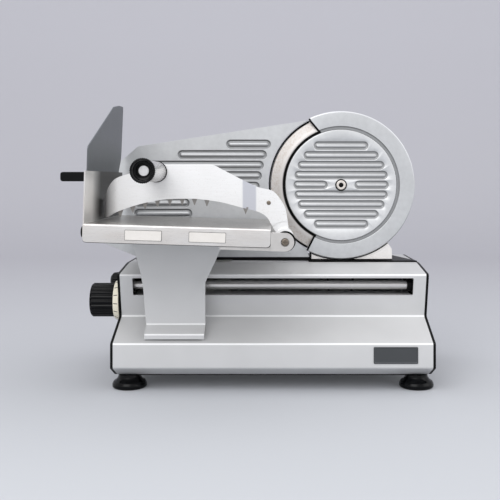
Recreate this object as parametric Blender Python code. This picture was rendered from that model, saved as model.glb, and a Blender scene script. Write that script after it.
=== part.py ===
# A domestic food slicer with a hand-pushed carriage. The carriage slides along a rod in the base, a press arm
# holds the food, a round blade turns behind a ribbed cover, and a knob moves the gauge plate that sets the
# slice.
#
# The machine's own frame: X runs to the right from the middle of the base, Y runs back from its front face
# and Z runs up from the bench. An empty at the end moves this frame, so that the model's origin is the middle
# of its footprint. All sizes are in metres.

import bpy
import bmesh
from math import asin, cos, hypot, pi, radians, sin
from mathutils import Matrix, Vector

MM = 0.001
GAP = 0.3 * MM
OVERRUN = 2 * MM
FULL_TURN = 2 * pi

# How many flats a round piece gets
FINE_STEPS = 72
ROUND_STEPS = 40
SMALL_STEPS = 24
TINY_STEPS = 16

# Base: folded sheet, from its underside up
BASE_LENGTH = 405 * MM
BASE_DEPTH = 240 * MM
SHEET = 1.5 * MM
END_PANEL = 3 * MM
FOOT_HEIGHT = 17.6 * MM
UNDERCUT_DEPTH = 30 * MM
UNDERCUT_RISE = 14.1 * MM
FRONT_HEIGHT = 31 * MM
LEDGE_DEPTH = 60.5 * MM
LEDGE_RISE = 23.9 * MM
LEAN_HEIGHT = 57.1 * MM
LEAN_DEPTH = 16.5 * MM
TOP_SLOPE_DEPTH = 71.5 * MM
TOP_SLOPE_RISE = 7.8 * MM
BOTTOM_FLANGE = 24 * MM

BASE_BOTTOM = FOOT_HEIGHT
FRONT_LOW = BASE_BOTTOM + UNDERCUT_RISE
FRONT_HIGH = FRONT_LOW + FRONT_HEIGHT
LEAN_LOW = FRONT_HIGH + LEDGE_RISE
LEAN_HIGH = LEAN_LOW + LEAN_HEIGHT
DECK = LEAN_HIGH + TOP_SLOPE_RISE
LEAN_TOP_Y = LEDGE_DEPTH - LEAN_DEPTH
CREASE_Y = LEAN_TOP_Y + TOP_SLOPE_DEPTH
SHELL_HALF = BASE_LENGTH / 2 - END_PANEL - GAP

# Feet
FOOT_X = 184.6 * MM
FOOT_FRONT_Y = 37 * MM
FOOT_REAR_MARGIN = 32 * MM
FOOT_RIM_RADIUS = 22 * MM
FOOT_RIM_HEIGHT = 8 * MM
FOOT_NECK_RADIUS = 13.5 * MM
FOOT_STUD_RADIUS = 3 * MM
FOOT_STUD_RISE = 7 * MM

# Guide slot and rod
SLOT_END_MARGIN = 16.2 * MM
SLOT_HEIGHT = 21.7 * MM
SLOT_RISE = 40.6 * MM
ROD_RADIUS = 5.75 * MM
ROD_SETBACK = 16.5 * MM
ROD_BRACKET = 4 * MM
ROD_BRACKET_DEPTH = 26 * MM
ROD_BRACKET_HEIGHT = 24 * MM
ROD_BRACKET_OFFSET = 3 * MM
ROD_NUT_RADIUS = 8 * MM
ROD_NUT_LENGTH = 7.5 * MM
SLOT_HALF = SHELL_HALF - SLOT_END_MARGIN
SLOT_Z = LEAN_LOW + SLOT_RISE
ROD_BRACKET_START = SLOT_HALF + ROD_BRACKET_OFFSET
ROD_END = ROD_BRACKET_START + ROD_BRACKET

# Bed plate on the deck
BED_LEFT_FRONT = 29.5 * MM
BED_RIGHT_FRONT = 6 * MM
BED_THICKNESS = 1.8 * MM
BED_LEFT = 192 * MM
BED_STEP_X = 50 * MM
BED_RIGHT = 200.5 * MM
BED_REAR_RIGHT = 169.6 * MM
BED_REAR_MARGIN = 6 * MM
BED_Z = DECK + GAP + BED_THICKNESS

# Blade group. Depths run back from the ring's front face.
BLADE_X = 94.9 * MM
BLADE_RISE = 107.5 * MM
BLADE_RADIUS = 97.5 * MM
BLADE_THICKNESS = 3 * MM
BLADE_BORE = 20 * MM
BLADE_BEVEL_INNER = 82 * MM
BLADE_BEVEL_STEP = 3.3 * MM
BLADE_STEP_WIDTH = 2 * MM
BLADE_EDGE_DEPTH = 6.9 * MM
BLADE_EDGE_WIDTH = 0.6 * MM
BLADE_BACK_WIDTH = 8 * MM
BLADE_RIVET_COUNT = 3
BLADE_RIVET_CIRCLE = 27 * MM
BLADE_RIVET_RADIUS = 2 * MM
BLADE_RIVET_HEAD = 4 * MM
RING_FRONT = 122 * MM
RING_OUTER = 103.2 * MM
RING_WALL = 3.2 * MM
RING_FACE = 2.9 * MM
RING_LENGTH = 27.2 * MM
RING_EDGE = 1.2 * MM
RING_START = radians(-116.6)
RING_END = radians(114.8)
COVER_RADIUS = 77.5 * MM
COVER_THICKNESS = 2.9 * MM
COVER_BOSS_RADIUS = 9 * MM
COVER_BOSS_HEIGHT = 2.8 * MM
COVER_EDGE = 1 * MM
COVER_SCREW_HEAD = 7 * MM
COVER_SCREW_HEAD_HEIGHT = 1.8 * MM
COVER_SCREW_RADIUS = 2.4 * MM
COVER_SCREW_LENGTH = 15 * MM
COVER_SOCKET_RADIUS = 2.7 * MM
COVER_SOCKET_DEPTH = 1.4 * MM
AXLE_RADIUS = 4 * MM
AXLE_SHOULDER_RADIUS = 6 * MM
AXLE_TAIL = 10 * MM
AXLE_NUT_RADIUS = 10 * MM
AXLE_NUT_HEIGHT = 6.5 * MM
HEX = 6
HEX_SIDE_STEPS = 4
BEARING_RADIUS = 11 * MM
HUB_FLANGE_RADIUS = 35 * MM
HUB_FLANGE = 2.9 * MM
BLADE_PULLEY_RADIUS = 30 * MM
PULLEY_RIM = 3 * MM
PULLEY_LIP = 1.3 * MM
BELT_WIDTH = 8 * MM
BELT_THICKNESS = 2.4 * MM
HUB_CLEARANCE = 0.5 * MM
BACKPLATE_RADIUS = 99 * MM
BACKPLATE_THICKNESS = 4.6 * MM
STAND_THICKNESS = 7 * MM
STAND_TOP_RADIUS = 34 * MM
AXLE_BOSS_RADIUS = 14 * MM
AXLE_BOSS_HEIGHT = 2 * MM
BRACKET_LEFT = 54 * MM
BRACKET_RIGHT = 166.4 * MM
BRACKET_HEIGHT = 10 * MM
BRACKET_HORN_RISE = 24 * MM
BRACKET_SHOULDER_RISE = 15.5 * MM
BRACKET_HORN_INSET = 5.7 * MM
BRACKET_FRONT_DEPTH = 3 * MM
BRACKET_REAR_DEPTH = 40 * MM

BLADE_Z = DECK + BLADE_RISE
COVER_BACK_Y = RING_FRONT + COVER_THICKNESS
BLADE_TOP_Y = COVER_BACK_Y + GAP
BLADE_FACE_Y = BLADE_TOP_Y + BLADE_BEVEL_STEP
BLADE_BACK_Y = BLADE_FACE_Y + BLADE_THICKNESS
HUB_FRONT_Y = BLADE_BACK_Y + GAP
BELT_Y = HUB_FRONT_Y + HUB_FLANGE + GAP
HUB_BACK_Y = BELT_Y + BELT_WIDTH + GAP + PULLEY_LIP
BACKPLATE_Y = HUB_BACK_Y + HUB_CLEARANCE
STAND_Y = BACKPLATE_Y + BACKPLATE_THICKNESS - GAP
STAND_BACK_Y = STAND_Y + STAND_THICKNESS

# Ribs: pill-shaped grooves with a crease along the middle
COVER_RIB_PITCH = 13.7 * MM
GAUGE_RIB_PITCH = 14.8 * MM
RIB_WIDTH = 9.2 * MM
RIB_DEPTH = 1.5 * MM
RIB_ARC_STEPS = 5
COVER_RIB_ROWS = 4
COVER_RIB_EDGE = 10.5 * MM
COVER_RIB_CENTRE_GAP = 18.2 * MM

# Motor, under the deck, and the belt's opening
MOTOR_DROP = 66.5 * MM
MOTOR_RADIUS = 38 * MM
MOTOR_REAR_GAP = 14.5 * MM
MOTOR_EDGE = 5 * MM
MOTOR_SHAFT_RADIUS = 4 * MM
MOTOR_SHAFT_GRIP = 20 * MM
MOTOR_PULLEY_RADIUS = 12 * MM
MOTOR_PULLEY_RIM = 3 * MM
MOTOR_GAP = 9 * MM
CRADLE_WIDTH = 70 * MM
CRADLE_MARGIN = 13 * MM
CRADLE_RISE = 34 * MM
BELT_OPENING_HALF = 27 * MM
BELT_OPENING_MARGIN = 2 * MM
BELT_OPENING_RISE = 14 * MM
MOTOR_Z = DECK - MOTOR_DROP

# Gauge plate. Its outline is in shares of its length and height.
GAUGE_LEFT = -250 * MM
GAUGE_RIGHT = 51 * MM
GAUGE_BOTTOM_RISE = 4.2 * MM
GAUGE_HEIGHT = 198.8 * MM
GAUGE_THICKNESS = 6 * MM
GAUGE_DEPTH = 8.2 * MM
GAUGE_ARC_RADIUS = 101.4 * MM
GAUGE_ARC_STEPS = 22
GAUGE_TRAVEL = 15 * MM
GAUGE_TOP_ANGLE = radians(116)
GAUGE_BOTTOM_ANGLE = radians(241.5)
gauge_outline_shares = [(1.0, 0.0), (0.2, 0.0), (0.038, 0.1), (0.0, 0.14), (0.0, 0.52), (0.137, 0.698),
                        (0.2, 0.782)]
gauge_upper_row_shares = [(0.61, 0.822), (0.383, 0.803), (0.18, 0.789), (0.165, 0.78), (0.165, 0.77)]
gauge_lower_row_shares = [(0.18, 0.442), (0.18, 0.455), (0.185, 0.468), (0.2, 0.48)]
GAUGE_UPPER_RISE = 57.2 * MM
GAUGE_LOWER_DROP = 25.3 * MM
POST_LEFT = -120 * MM
POST_WIDTH = 60 * MM
POST_THICKNESS = 8 * MM
POST_HEIGHT = 80 * MM
SLIDER_HEIGHT = 26 * MM
SLIDER_LENGTH = 32 * MM
SLIDER_DROP = 4 * MM
RAIL_RADIUS = 5 * MM
RAIL_RISE = 13 * MM
RAIL_STAND = 6 * MM
RAIL_STAND_WIDTH = 20 * MM
RAIL_STAND_FOOT = 5 * MM
RAIL_FRONT_ROOM = 10 * MM
RAIL_REAR_ROOM = 12 * MM
BAR_HEIGHT = 12 * MM
BAR_DEPTH = 10 * MM
NOSE_HALF = 2 * MM

# Thickness knob on the left end, with the snail cam inside that pushes the gauge plate
KNOB_BACK = 15.5 * MM
KNOB_DROP = 21.9 * MM
DIAL_RADIUS = 28 * MM
DIAL_FRONT_RADIUS = 25 * MM
DIAL_WIDTH = 10 * MM
KNOB_RADIUS = 22.5 * MM
KNOB_LENGTH = 28 * MM
KNOB_FLUTES = 20
KNOB_FLUTE = 1.4 * MM
KNOB_EDGE = 3 * MM
SPINDLE_RADIUS = 4 * MM
SPINDLE_GRIP = 20 * MM
CAM_WIDTH = 6 * MM
CAM_RADIUS = 7 * MM
CAM_GAP = 0.6 * MM
CAM_STEPS = 44
CAM_TURN = radians(300)
CAM_LEAD = radians(8)
CAM_TAIL = radians(22)
CAM_RATE = GAUGE_TRAVEL / CAM_TURN

# Switch on the left end
SWITCH_Y = 134 * MM
SWITCH_Z = 124 * MM
SWITCH_RADIUS = 14 * MM
SWITCH_TIP_RADIUS = 11.5 * MM
SWITCH_LENGTH = 25 * MM
SWITCH_EDGE = 4 * MM
SWITCH_STEM_RADIUS = 5 * MM
SWITCH_STEM = 7 * MM
SWITCH_BODY = 20 * MM
SWITCH_BODY_WIDTH = 26 * MM
SWITCH_BODY_HEIGHT = 17 * MM

# Cord gland at the back, badge at the front
GLAND_X = -150 * MM
GLAND_Z = 50 * MM
GLAND_FLANGE_RADIUS = 11 * MM
GLAND_FLANGE = 3 * MM
GLAND_RADIUS = 7 * MM
GLAND_LENGTH = 13.7 * MM
GLAND_STEM_RADIUS = 6 * MM
GLAND_STEM = 6 * MM
GLAND_BORE = 3.5 * MM
BADGE_X = 125.1 * MM
BADGE_Z = 37.5 * MM
BADGE_WIDTH = 55.2 * MM
BADGE_HEIGHT = 21.1 * MM
BADGE_THICKNESS = 0.8 * MM
BADGE_CORNER = 1.5 * MM
CORNER_STEPS = 4

# Tray, in its own tilted frame: X along it, Y back from its flange, Z up from its floor
TRAY_LEFT = -212 * MM
TRAY_FRONT = -103.5 * MM
TRAY_RISE = 66 * MM
TRAY_TILT = radians(1.72)
TRAY_WIDTH = 209.6 * MM
TRAY_REAR_GAP = 14.7 * MM
TRAY_SHEET = 1.5 * MM
TRAY_FLANGE = 20.5 * MM
TRAY_CORNER = 4 * MM
END_WALL = 59 * MM
LABEL_LEFT = (47.1 * MM, 118.6 * MM)
LABEL_WIDTH = 41.4 * MM
LABEL_HEIGHT = 11.6 * MM
LABEL_DROP = 5.5 * MM
LABEL_THICKNESS = 0.5 * MM

# Cast frame under the tray, with the two ears that hold the pivot rod
FRAME_THICKNESS = 5.5 * MM
FRAME_MARGIN = 1 * MM
FRAME_REAR_MARGIN = 19.5 * MM
EAR_REACH = 16.4 * MM
EAR_DROP = 14.2 * MM
EAR_X = TRAY_WIDTH + EAR_REACH
EAR_RADIUS = 10.2 * MM
EAR_THICKNESS = 8 * MM
EAR_STEPS = 14
BAR_START = 153 * MM
SIDE_BLOCK_WIDTH = 8 * MM
SIDE_BLOCK_DEPTH = 36 * MM
SIDE_BLOCK_START = 5 * MM
SIDE_BLOCK_HEIGHT = 17 * MM
SIDE_BOLT_RADIUS = 6.5 * MM
SIDE_BOLT_LENGTH = 5 * MM
SIDE_BOLT_BACK = 14 * MM
SIDE_BOLT_DROP = 8.5 * MM
SIDE_BOLT_EDGE = 1.2 * MM
PIVOT_RADIUS = 4 * MM
PIVOT_SCREW_HEAD = 4.6 * MM
PIVOT_SCREW_HEIGHT = 2.8 * MM
PIVOT_SCREW_PROUD = 0.4 * MM
PIVOT_SCREW_RADIUS = 2 * MM
PIVOT_SCREW_LENGTH = 8 * MM

# Leg from the tray frame down the base's front, with the bearing on the rod. Its outline is in shares of its
# width and height.
LEG_LEFT = -181 * MM
LEG_WIDTH = 116.2 * MM
LEG_FRONT = 20 * MM
LEG_THICKNESS = 4 * MM
LEG_FOLD_Z = 83 * MM
LEG_FOOT_Z = 73.5 * MM
LEG_END_Z = 67.5 * MM
LEG_STEP = 17 * MM
LEG_TOP_MARGIN = 1.2 * MM
LEG_FLANGE_DEPTH = 42 * MM
LEG_FLANGE = 4 * MM
leg_left_shares = [(0.176, 0.0), (0.161, 0.126), (0.141, 0.374), (0.112, 0.515), (0.072, 0.656),
                   (0.047, 0.755), (0.006, 0.805), (0.0, 0.88)]
leg_right_shares = [(1.0, 0.88), (1.0, 0.778), (0.84, 0.463), (0.816, 0.416), (0.818, 0.0)]
BEARING_BLOCK_LEFT = -159 * MM
BEARING_BLOCK_LENGTH = 70 * MM
SLEEVE_RADIUS = 9.5 * MM
NECK_INSET = 9 * MM
NECK_HALF = 8 * MM
NECK_SHIFT = 1 * MM
ROLLER_X = -123 * MM
ROLLER_Z = 100 * MM
ROLLER_RADIUS = 8 * MM
ROLLER_LENGTH = 10 * MM
ROLLER_PIN_RADIUS = 2 * MM
ROLLER_PIN_HEAD = 4 * MM
ROLLER_PIN_HEAD_HEIGHT = 1.5 * MM
LUG_HALF = 9 * MM
LUG_THICKNESS = 4.5 * MM
LUG_REACH = 26 * MM
LUG_BACK = 5 * MM

# Hand guard, push grip. The guard's outline is in shares of its depth and height.
GUARD_THICKNESS = 1.5 * MM
GUARD_FRONT = -84 * MM
GUARD_DEPTH = 202.5 * MM
GUARD_LOW = 255 * MM
GUARD_HEIGHT = 112.5 * MM
guard_outline_shares = [
    (0.0, 0.0), (0.86, 0.0), (0.913, 0.21), (0.982, 0.36), (1.0, 0.957), (0.992, 1.0),
    (0.866, 0.993), (0.681, 0.95), (0.59, 0.878), (0.0, 0.441),
]
GRIP_LENGTH = 33 * MM
GRIP_WIDTH = 62 * MM
GRIP_Y = -70 * MM
GRIP_Z = 264.4 * MM
GRIP_HEIGHT = 11 * MM
GRIP_TAPER = 2 * MM
GRIP_ROUND = 3.4 * MM

# Press arm: plan and heights in shares of its reach from the pivot and of its height over the pivot
ARM_REACH = 219.8 * MM
ARM_HEIGHT = 88.8 * MM
ARM_THICKNESS = 2.5 * MM
ARM_FRONT = -19.5 * MM
ARM_JOGGLE = 8 * MM
ARM_TAIL = 12 * MM
ARM_CURL_STEPS = 5
ARM_BOSS_RADIUS = 11.6 * MM
ARM_BOSS_LENGTH = 20 * MM
SLEEVE_WALL = 2.2 * MM
PRESS_SLEEVE_LENGTH = 26 * MM
arm_joggle_shares = (0.143, 0.24)
arm_curl_start_share = 0.91
arm_shares = [
    (-0.025, 0.06, 0.114), (-0.012, 0.03, 0.383), (0.023, 0.03, 0.537), (0.058, 0.066, 0.634),
    (0.07, 0.2, 0.646), (0.096, 0.287, 0.657), (0.143, 0.35, 0.681), (0.24, 0.412, 0.797),
    (0.342, 0.48, 0.929), (0.396, 0.501, 1.0), (0.482, 0.527, 0.997), (0.576, 0.527, 0.993),
    (0.661, 0.519, 0.99), (0.77, 0.47, 0.92), (0.856, 0.408, 0.865), (0.91, 0.358, 0.827),
    (0.949, 0.321, 0.769), (0.98, 0.27, 0.653), (1.0, 0.28, 0.518),
]
TOOTH_HEIGHT = 7 * MM
TOOTH_WIDTH = 7 * MM
TEETH_SHEET = 1.5 * MM
TEETH_STRIP = 14 * MM
TEETH_COUNT = 8
teeth_start_share = 0.355
teeth_pitch_share = 0.068
RIVET_RADIUS = 1.7 * MM
RIVET_HEAD = 2.8 * MM
RIVET_HEAD_HEIGHT = 1 * MM
rivet_shares = (0.085, 0.47)

# Handle on the press arm
HANDLE_SHARES = (0.702, 0.895)
HANDLE_LENGTH = 106 * MM
HANDLE_RADIUS = 12.2 * MM
HANDLE_WALL = 1 * MM
WASHER_RADIUS = 13 * MM
WASHER = 1.5 * MM
CAP_RADIUS = 14 * MM
CAP_FLANGE = 5.2 * MM
CAP_PLUG_LENGTH = 10.5 * MM
CAP_WEB = 2.6 * MM
CAP_EDGE = 1 * MM
CAP_MOUTH_RADIUS = 11.8 * MM
CAP_SEAT_RADIUS = 7.4 * MM
BOLT_RADIUS = 3 * MM
BOLT_HEAD = 6.4 * MM
BOLT_HEAD_HEIGHT = 2.4 * MM
BOLT_TAIL = 6 * MM
BOLT_NUT_RADIUS = 6 * MM
BOLT_NUT_HEIGHT = 4 * MM

# Places worked out from the sizes above
FOOT_REAR_Y = BASE_DEPTH - FOOT_REAR_MARGIN
TRAY_Z = DECK + TRAY_RISE
LEG_SPAN = TRAY_Z - TRAY_SHEET - GAP - FRAME_THICKNESS - LEG_TOP_MARGIN - LEG_FOLD_Z
PIVOT_X = TRAY_LEFT + EAR_X * cos(TRAY_TILT) - EAR_DROP * sin(TRAY_TILT)
PIVOT_Z = TRAY_Z - EAR_X * sin(TRAY_TILT) - EAR_DROP * cos(TRAY_TILT)
GAUGE_FRONT_Y = RING_FRONT + GAUGE_DEPTH
GAUGE_BACK_Y = GAUGE_FRONT_Y + GAUGE_THICKNESS
TRAY_DEPTH = GAUGE_FRONT_Y - TRAY_REAR_GAP - TRAY_FRONT
FRAME_DEPTH = TRAY_DEPTH - FRAME_REAR_MARGIN
GAUGE_BOTTOM = BED_Z + GAUGE_BOTTOM_RISE
END_X = BASE_LENGTH / 2


def lean_face_y(z):
    """Depth of the leaning front face at a height."""
    return LEDGE_DEPTH - LEAN_DEPTH * (z - LEAN_LOW) / LEAN_HEIGHT


ROD_Y = lean_face_y(SLOT_Z) + ROD_SETBACK
KNOB_Y = ROD_Y + KNOB_BACK
KNOB_Z = SLOT_Z - KNOB_DROP
CAM_LEFT = -END_X + END_PANEL + OVERRUN
NOSE_Y = KNOB_Y + CAM_RADIUS + CAM_GAP
POST_Y = GAUGE_BACK_Y + GAP
SLIDER_Z = KNOB_Z - SLIDER_DROP
RAIL_X = POST_LEFT + POST_WIDTH / 2
RAIL_Z = SLIDER_Z + RAIL_RISE
SLIDER_FRONT_Y = POST_Y + POST_THICKNESS - SLIDER_LENGTH
ARM_LEFT_FRONT = ARM_FRONT - ARM_JOGGLE
HANDLE_X = PIVOT_X - HANDLE_SHARES[0] * ARM_REACH
HANDLE_Z = PIVOT_Z + HANDLE_SHARES[1] * ARM_HEIGHT
CAP_FRONT_Y = ARM_LEFT_FRONT - HANDLE_LENGTH

# Finishes: colour, roughness, metallic
FINISHES = {
    "painted_grey": ((0.55, 0.58, 0.60), 0.38, 0.25),
    "black_plastic": ((0.012, 0.012, 0.013), 0.3, 0.0),
    "black_paint": ((0.02, 0.021, 0.022), 0.5, 0.0),
    "cast_aluminium": ((0.62, 0.65, 0.67), 0.35, 0.7),
    "satin_aluminium": ((0.84, 0.84, 0.85), 0.3, 0.85),
    "bright_casting": ((0.80, 0.80, 0.79), 0.4, 0.5),
    "blade_steel": ((0.86, 0.85, 0.84), 0.15, 1.0),
    "stainless_sheet": ((0.62, 0.60, 0.585), 0.22, 1.0),
    "steel": ((0.55, 0.54, 0.53), 0.3, 1.0),
    "guard_metal": ((0.16, 0.175, 0.19), 0.38, 0.6),
    "cream_plastic": ((0.78, 0.75, 0.66), 0.45, 0.0),
    "label_white": ((0.86, 0.86, 0.84), 0.4, 0.0),
    "badge_dark": ((0.045, 0.045, 0.05), 0.35, 0.3),
    "belt_rubber": ((0.02, 0.02, 0.02), 0.7, 0.0),
    "zinc_plate": ((0.5, 0.5, 0.49), 0.45, 0.8),
    "nylon": ((0.72, 0.71, 0.67), 0.5, 0.0),
}


# Scene helpers

groups = {}


def clear_scene():
    """Start from an empty scene."""
    for thing in list(bpy.data.objects):
        bpy.data.objects.remove(thing, do_unlink=True)


def add_group(name, place, rotation=None, parent=None):
    """An empty that carries pieces. Its place and turn are given in the machine's frame."""
    matrix = Matrix.Translation(Vector(place)) @ (rotation or Matrix.Identity(4))
    empty = bpy.data.objects.new(name, None)
    empty.empty_display_size = FOOT_HEIGHT
    bpy.context.scene.collection.objects.link(empty)
    if parent:
        empty.parent = groups[parent][0]
        empty.matrix_local = groups[parent][1].inverted() @ matrix
    else:
        empty.matrix_local = matrix
    groups[name] = (empty, matrix)


def finish_material(name, finish):
    """A piece's own Principled material, in one of the finishes."""
    colour, roughness, metallic = FINISHES[finish]
    material = bpy.data.materials.new(name)
    material.use_nodes = True
    shader = material.node_tree.nodes["Principled BSDF"]
    shader.inputs["Base Color"].default_value = (*colour, 1)
    shader.inputs["Roughness"].default_value = roughness
    shader.inputs["Metallic"].default_value = metallic
    return material


def add_piece(name, shape, finish, group, local=False, smooth=False):
    """Turn a bmesh into a named piece that a group carries."""
    if not local:
        bmesh.ops.transform(shape, matrix=groups[group][1].inverted(), verts=shape.verts)
    bmesh.ops.recalc_face_normals(shape, faces=shape.faces)
    mesh = bpy.data.meshes.new(name)
    shape.to_mesh(mesh)
    shape.free()
    if smooth:
        mesh.shade_smooth()
        mesh.set_sharp_from_angle(angle=radians(35))
    mesh.materials.append(finish_material(name, finish))
    piece = bpy.data.objects.new(name, mesh)
    piece.parent = groups[group][0]
    bpy.context.scene.collection.objects.link(piece)
    return piece


def work(piece, shape, operation, group, local=False):
    """Cut a piece with a shape, or join the shape to it, through a Boolean modifier."""
    number = len(piece.modifiers)
    tool = add_piece(f"{piece.name}_{operation.lower()}_{number}", shape, "steel", group, local)
    tool.hide_render = True
    tool.display_type = "WIRE"
    modifier = piece.modifiers.new(tool.name, "BOOLEAN")
    modifier.operation = operation
    modifier.object = tool


# Shape helpers. Each gives a bmesh.

def along(axis, first, second, height):
    """A point from two cross coordinates and a height along an axis."""
    return {"X": (height, first, second), "Y": (first, height, second), "Z": (first, second, height)}[axis]


def prism(outline, axis, low, high):
    """A solid between two copies of an outline."""
    shape = bmesh.new()
    bottom = [shape.verts.new(along(axis, a, b, low)) for a, b in outline]
    top = [shape.verts.new(along(axis, a, b, high)) for a, b in outline]
    shape.faces.new(bottom)
    shape.faces.new(top)
    for here in range(len(outline)):
        there = (here + 1) % len(outline)
        shape.faces.new((bottom[here], bottom[there], top[there], top[here]))
    return shape


def block(x_range, y_range, z_range):
    """A box from its ranges."""
    outline = [(x_range[i], y_range[j]) for i, j in ((0, 0), (1, 0), (1, 1), (0, 1))]
    return prism(outline, "Z", *z_range)


def ring_prism(outer, inner, axis, low, high):
    """A solid between two outlines with as many points each."""
    shape = bmesh.new()
    loops = [[shape.verts.new(along(axis, a, b, h)) for a, b in line]
             for line, h in ((outer, low), (outer, high), (inner, high), (inner, low))]
    for first, second in zip(loops, loops[1:] + loops[:1]):
        for here in range(len(outer)):
            there = (here + 1) % len(outer)
            shape.faces.new((first[here], first[there], second[there], second[here]))
    return shape


def turned(profile, axis, centre, steps, start=0.0, sweep=FULL_TURN):
    """Turn a closed profile of (radius, height) about a line along an axis."""
    closed = sweep >= FULL_TURN
    count = steps if closed else steps + 1
    shape = bmesh.new()
    rows = []
    for radius, height in profile:
        if radius == 0:
            rows.append([shape.verts.new(along(axis, *centre, height))] * count)
        else:
            angles = [start + sweep * step / steps for step in range(count)]
            rows.append([
                shape.verts.new(along(axis, centre[0] + radius * cos(a), centre[1] + radius * sin(a), height))
                for a in angles])
    for low, high in zip(rows, rows[1:] + rows[:1]):
        for here in range(count if closed else steps):
            there = (here + 1) % count
            corners = []
            for vert in (low[here], low[there], high[there], high[here]):
                if vert not in corners:
                    corners.append(vert)
            if len(corners) > 2:
                shape.faces.new(corners)
    if not closed:
        shape.faces.new([row[0] for row in rows])
        shape.faces.new([row[-1] for row in rows])
    return shape


def rod(axis, centre, radius, low, high, steps):
    """A plain cylinder."""
    return turned([(0, low), (radius, low), (radius, high), (0, high)], axis, centre, steps)


def bush(axis, centre, inner, outer, low, high, steps):
    """A plain tube."""
    return turned([(inner, low), (outer, low), (outer, high), (inner, high)], axis, centre, steps)


def hex_nut(centre, radius, hole, low, high):
    """A six-sided nut with a round hole, along Y."""
    corners = arc(centre, radius, 0, FULL_TURN, HEX)
    outer = []
    for first, second in zip(corners, corners[1:]):
        for step in range(HEX_SIDE_STEPS):
            share = step / HEX_SIDE_STEPS
            outer.append((first[0] + (second[0] - first[0]) * share,
                          first[1] + (second[1] - first[1]) * share))
    return ring_prism(outer, arc(centre, hole, 0, FULL_TURN, len(outer))[:-1], "Y", low, high)


def arc(centre, radius, start, end, steps):
    """Points on an arc, both ends included."""
    return [(centre[0] + radius * cos(start + (end - start) * step / steps),
             centre[1] + radius * sin(start + (end - start) * step / steps)) for step in range(steps + 1)]


def rectangle(left, low, width, height, corner=0.0):
    """A rectangle's outline, with round corners if asked."""
    right = left + width
    high = low + height
    if not corner:
        return [(left, low), (right, low), (right, high), (left, high)]
    outline = []
    corners = [(right - corner, high - corner), (left + corner, high - corner),
               (left + corner, low + corner), (right - corner, low + corner)]
    for quarter, centre in enumerate(corners):
        outline += arc(centre, corner, quarter * pi / 2, (quarter + 1) * pi / 2, CORNER_STEPS)
    return outline


def offset_path(path, distance):
    """An open path moved to its right-hand side by a distance, with mitred corners."""
    moved = []
    for index, point in enumerate(path):
        normals = []
        for a, b in ((index - 1, index), (index, index + 1)):
            if a >= 0 and b < len(path):
                run, rise = path[b][0] - path[a][0], path[b][1] - path[a][1]
                length = hypot(run, rise)
                normals.append((rise / length, -run / length))
        first, last = normals[0], normals[-1]
        scale = distance / (1 + first[0] * last[0] + first[1] * last[1])
        moved.append((point[0] + (first[0] + last[0]) * scale, point[1] + (first[1] + last[1]) * scale))
    return moved


def groove(left, right, centre_z, face_y):
    """A cutter for one pill-shaped rib: round ends, and a crease along its bottom."""
    half = RIB_WIDTH / 2
    ends = (left + half, right - half)
    shape = bmesh.new()
    mouth = []
    for centre_x, start in ((ends[1], -pi / 2), (ends[0], pi / 2)):
        mouth += arc((centre_x, centre_z), half, start, start + pi, RIB_ARC_STEPS)
    front = [shape.verts.new((x, face_y - OVERRUN, z)) for x, z in mouth]
    rim = [shape.verts.new((x, face_y, z)) for x, z in mouth]
    crease = [shape.verts.new((x, face_y + RIB_DEPTH, centre_z)) for x in ends]
    shape.faces.new(front)
    for here in range(len(mouth)):
        there = (here + 1) % len(mouth)
        shape.faces.new((front[here], front[there], rim[there], rim[here]))
    per_end = RIB_ARC_STEPS + 1
    for end, bottom in ((0, crease[1]), (1, crease[0])):
        near = crease[0] if end else crease[1]
        first = end * per_end
        for here in range(first, first + RIB_ARC_STEPS):
            shape.faces.new((rim[here], rim[here + 1], near if end else bottom))
    shape.faces.new((rim[RIB_ARC_STEPS], rim[per_end], crease[0], crease[1]))
    shape.faces.new((rim[2 * per_end - 1], rim[0], crease[1], crease[0]))
    return shape


def merged(shapes):
    """Several cutters in one bmesh."""
    whole = bmesh.new()
    for shape in shapes:
        mesh = bpy.data.meshes.new("cutter")
        shape.to_mesh(mesh)
        shape.free()
        whole.from_mesh(mesh)
        bpy.data.meshes.remove(mesh)
    return whole


# Base

def base_path():
    """The base's outer section, from the front bottom flange round to the rear one."""
    return [
        (UNDERCUT_DEPTH + BOTTOM_FLANGE, BASE_BOTTOM), (UNDERCUT_DEPTH, BASE_BOTTOM), (0, FRONT_LOW),
        (0, FRONT_HIGH), (LEDGE_DEPTH, LEAN_LOW), (LEAN_TOP_Y, LEAN_HIGH), (CREASE_Y, DECK),
        (BASE_DEPTH, DECK), (BASE_DEPTH, BASE_BOTTOM), (BASE_DEPTH - BOTTOM_FLANGE, BASE_BOTTOM),
    ]


def foot_places():
    """Where the four feet stand."""
    return {
        "front_left": (-FOOT_X, FOOT_FRONT_Y), "front_right": (FOOT_X, FOOT_FRONT_Y),
        "rear_left": (-FOOT_X, FOOT_REAR_Y), "rear_right": (FOOT_X, FOOT_REAR_Y),
    }


def stud_holes():
    """Cutters for the feet's studs."""
    return merged([
        rod("Z", place, FOOT_STUD_RADIUS + GAP, BASE_BOTTOM - OVERRUN, BASE_BOTTOM + FOOT_STUD_RISE,
            TINY_STEPS)
        for place in foot_places().values()])


def belt_opening(low, high):
    """A cutter for the belt's way through the deck and the blade bracket."""
    return block((BLADE_X - BELT_OPENING_HALF, BLADE_X + BELT_OPENING_HALF),
                 (BELT_Y - BELT_OPENING_MARGIN, BACKPLATE_Y - GAP), (low, high))


def post_opening():
    """A cutter for the gauge post's way through the deck, with room for its travel."""
    return block((POST_LEFT - OVERRUN, POST_LEFT + POST_WIDTH + OVERRUN),
                 (POST_Y - OVERRUN, POST_Y + POST_THICKNESS + GAUGE_TRAVEL + OVERRUN),
                 (DECK - SHEET - OVERRUN, BED_Z + OVERRUN))


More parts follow.
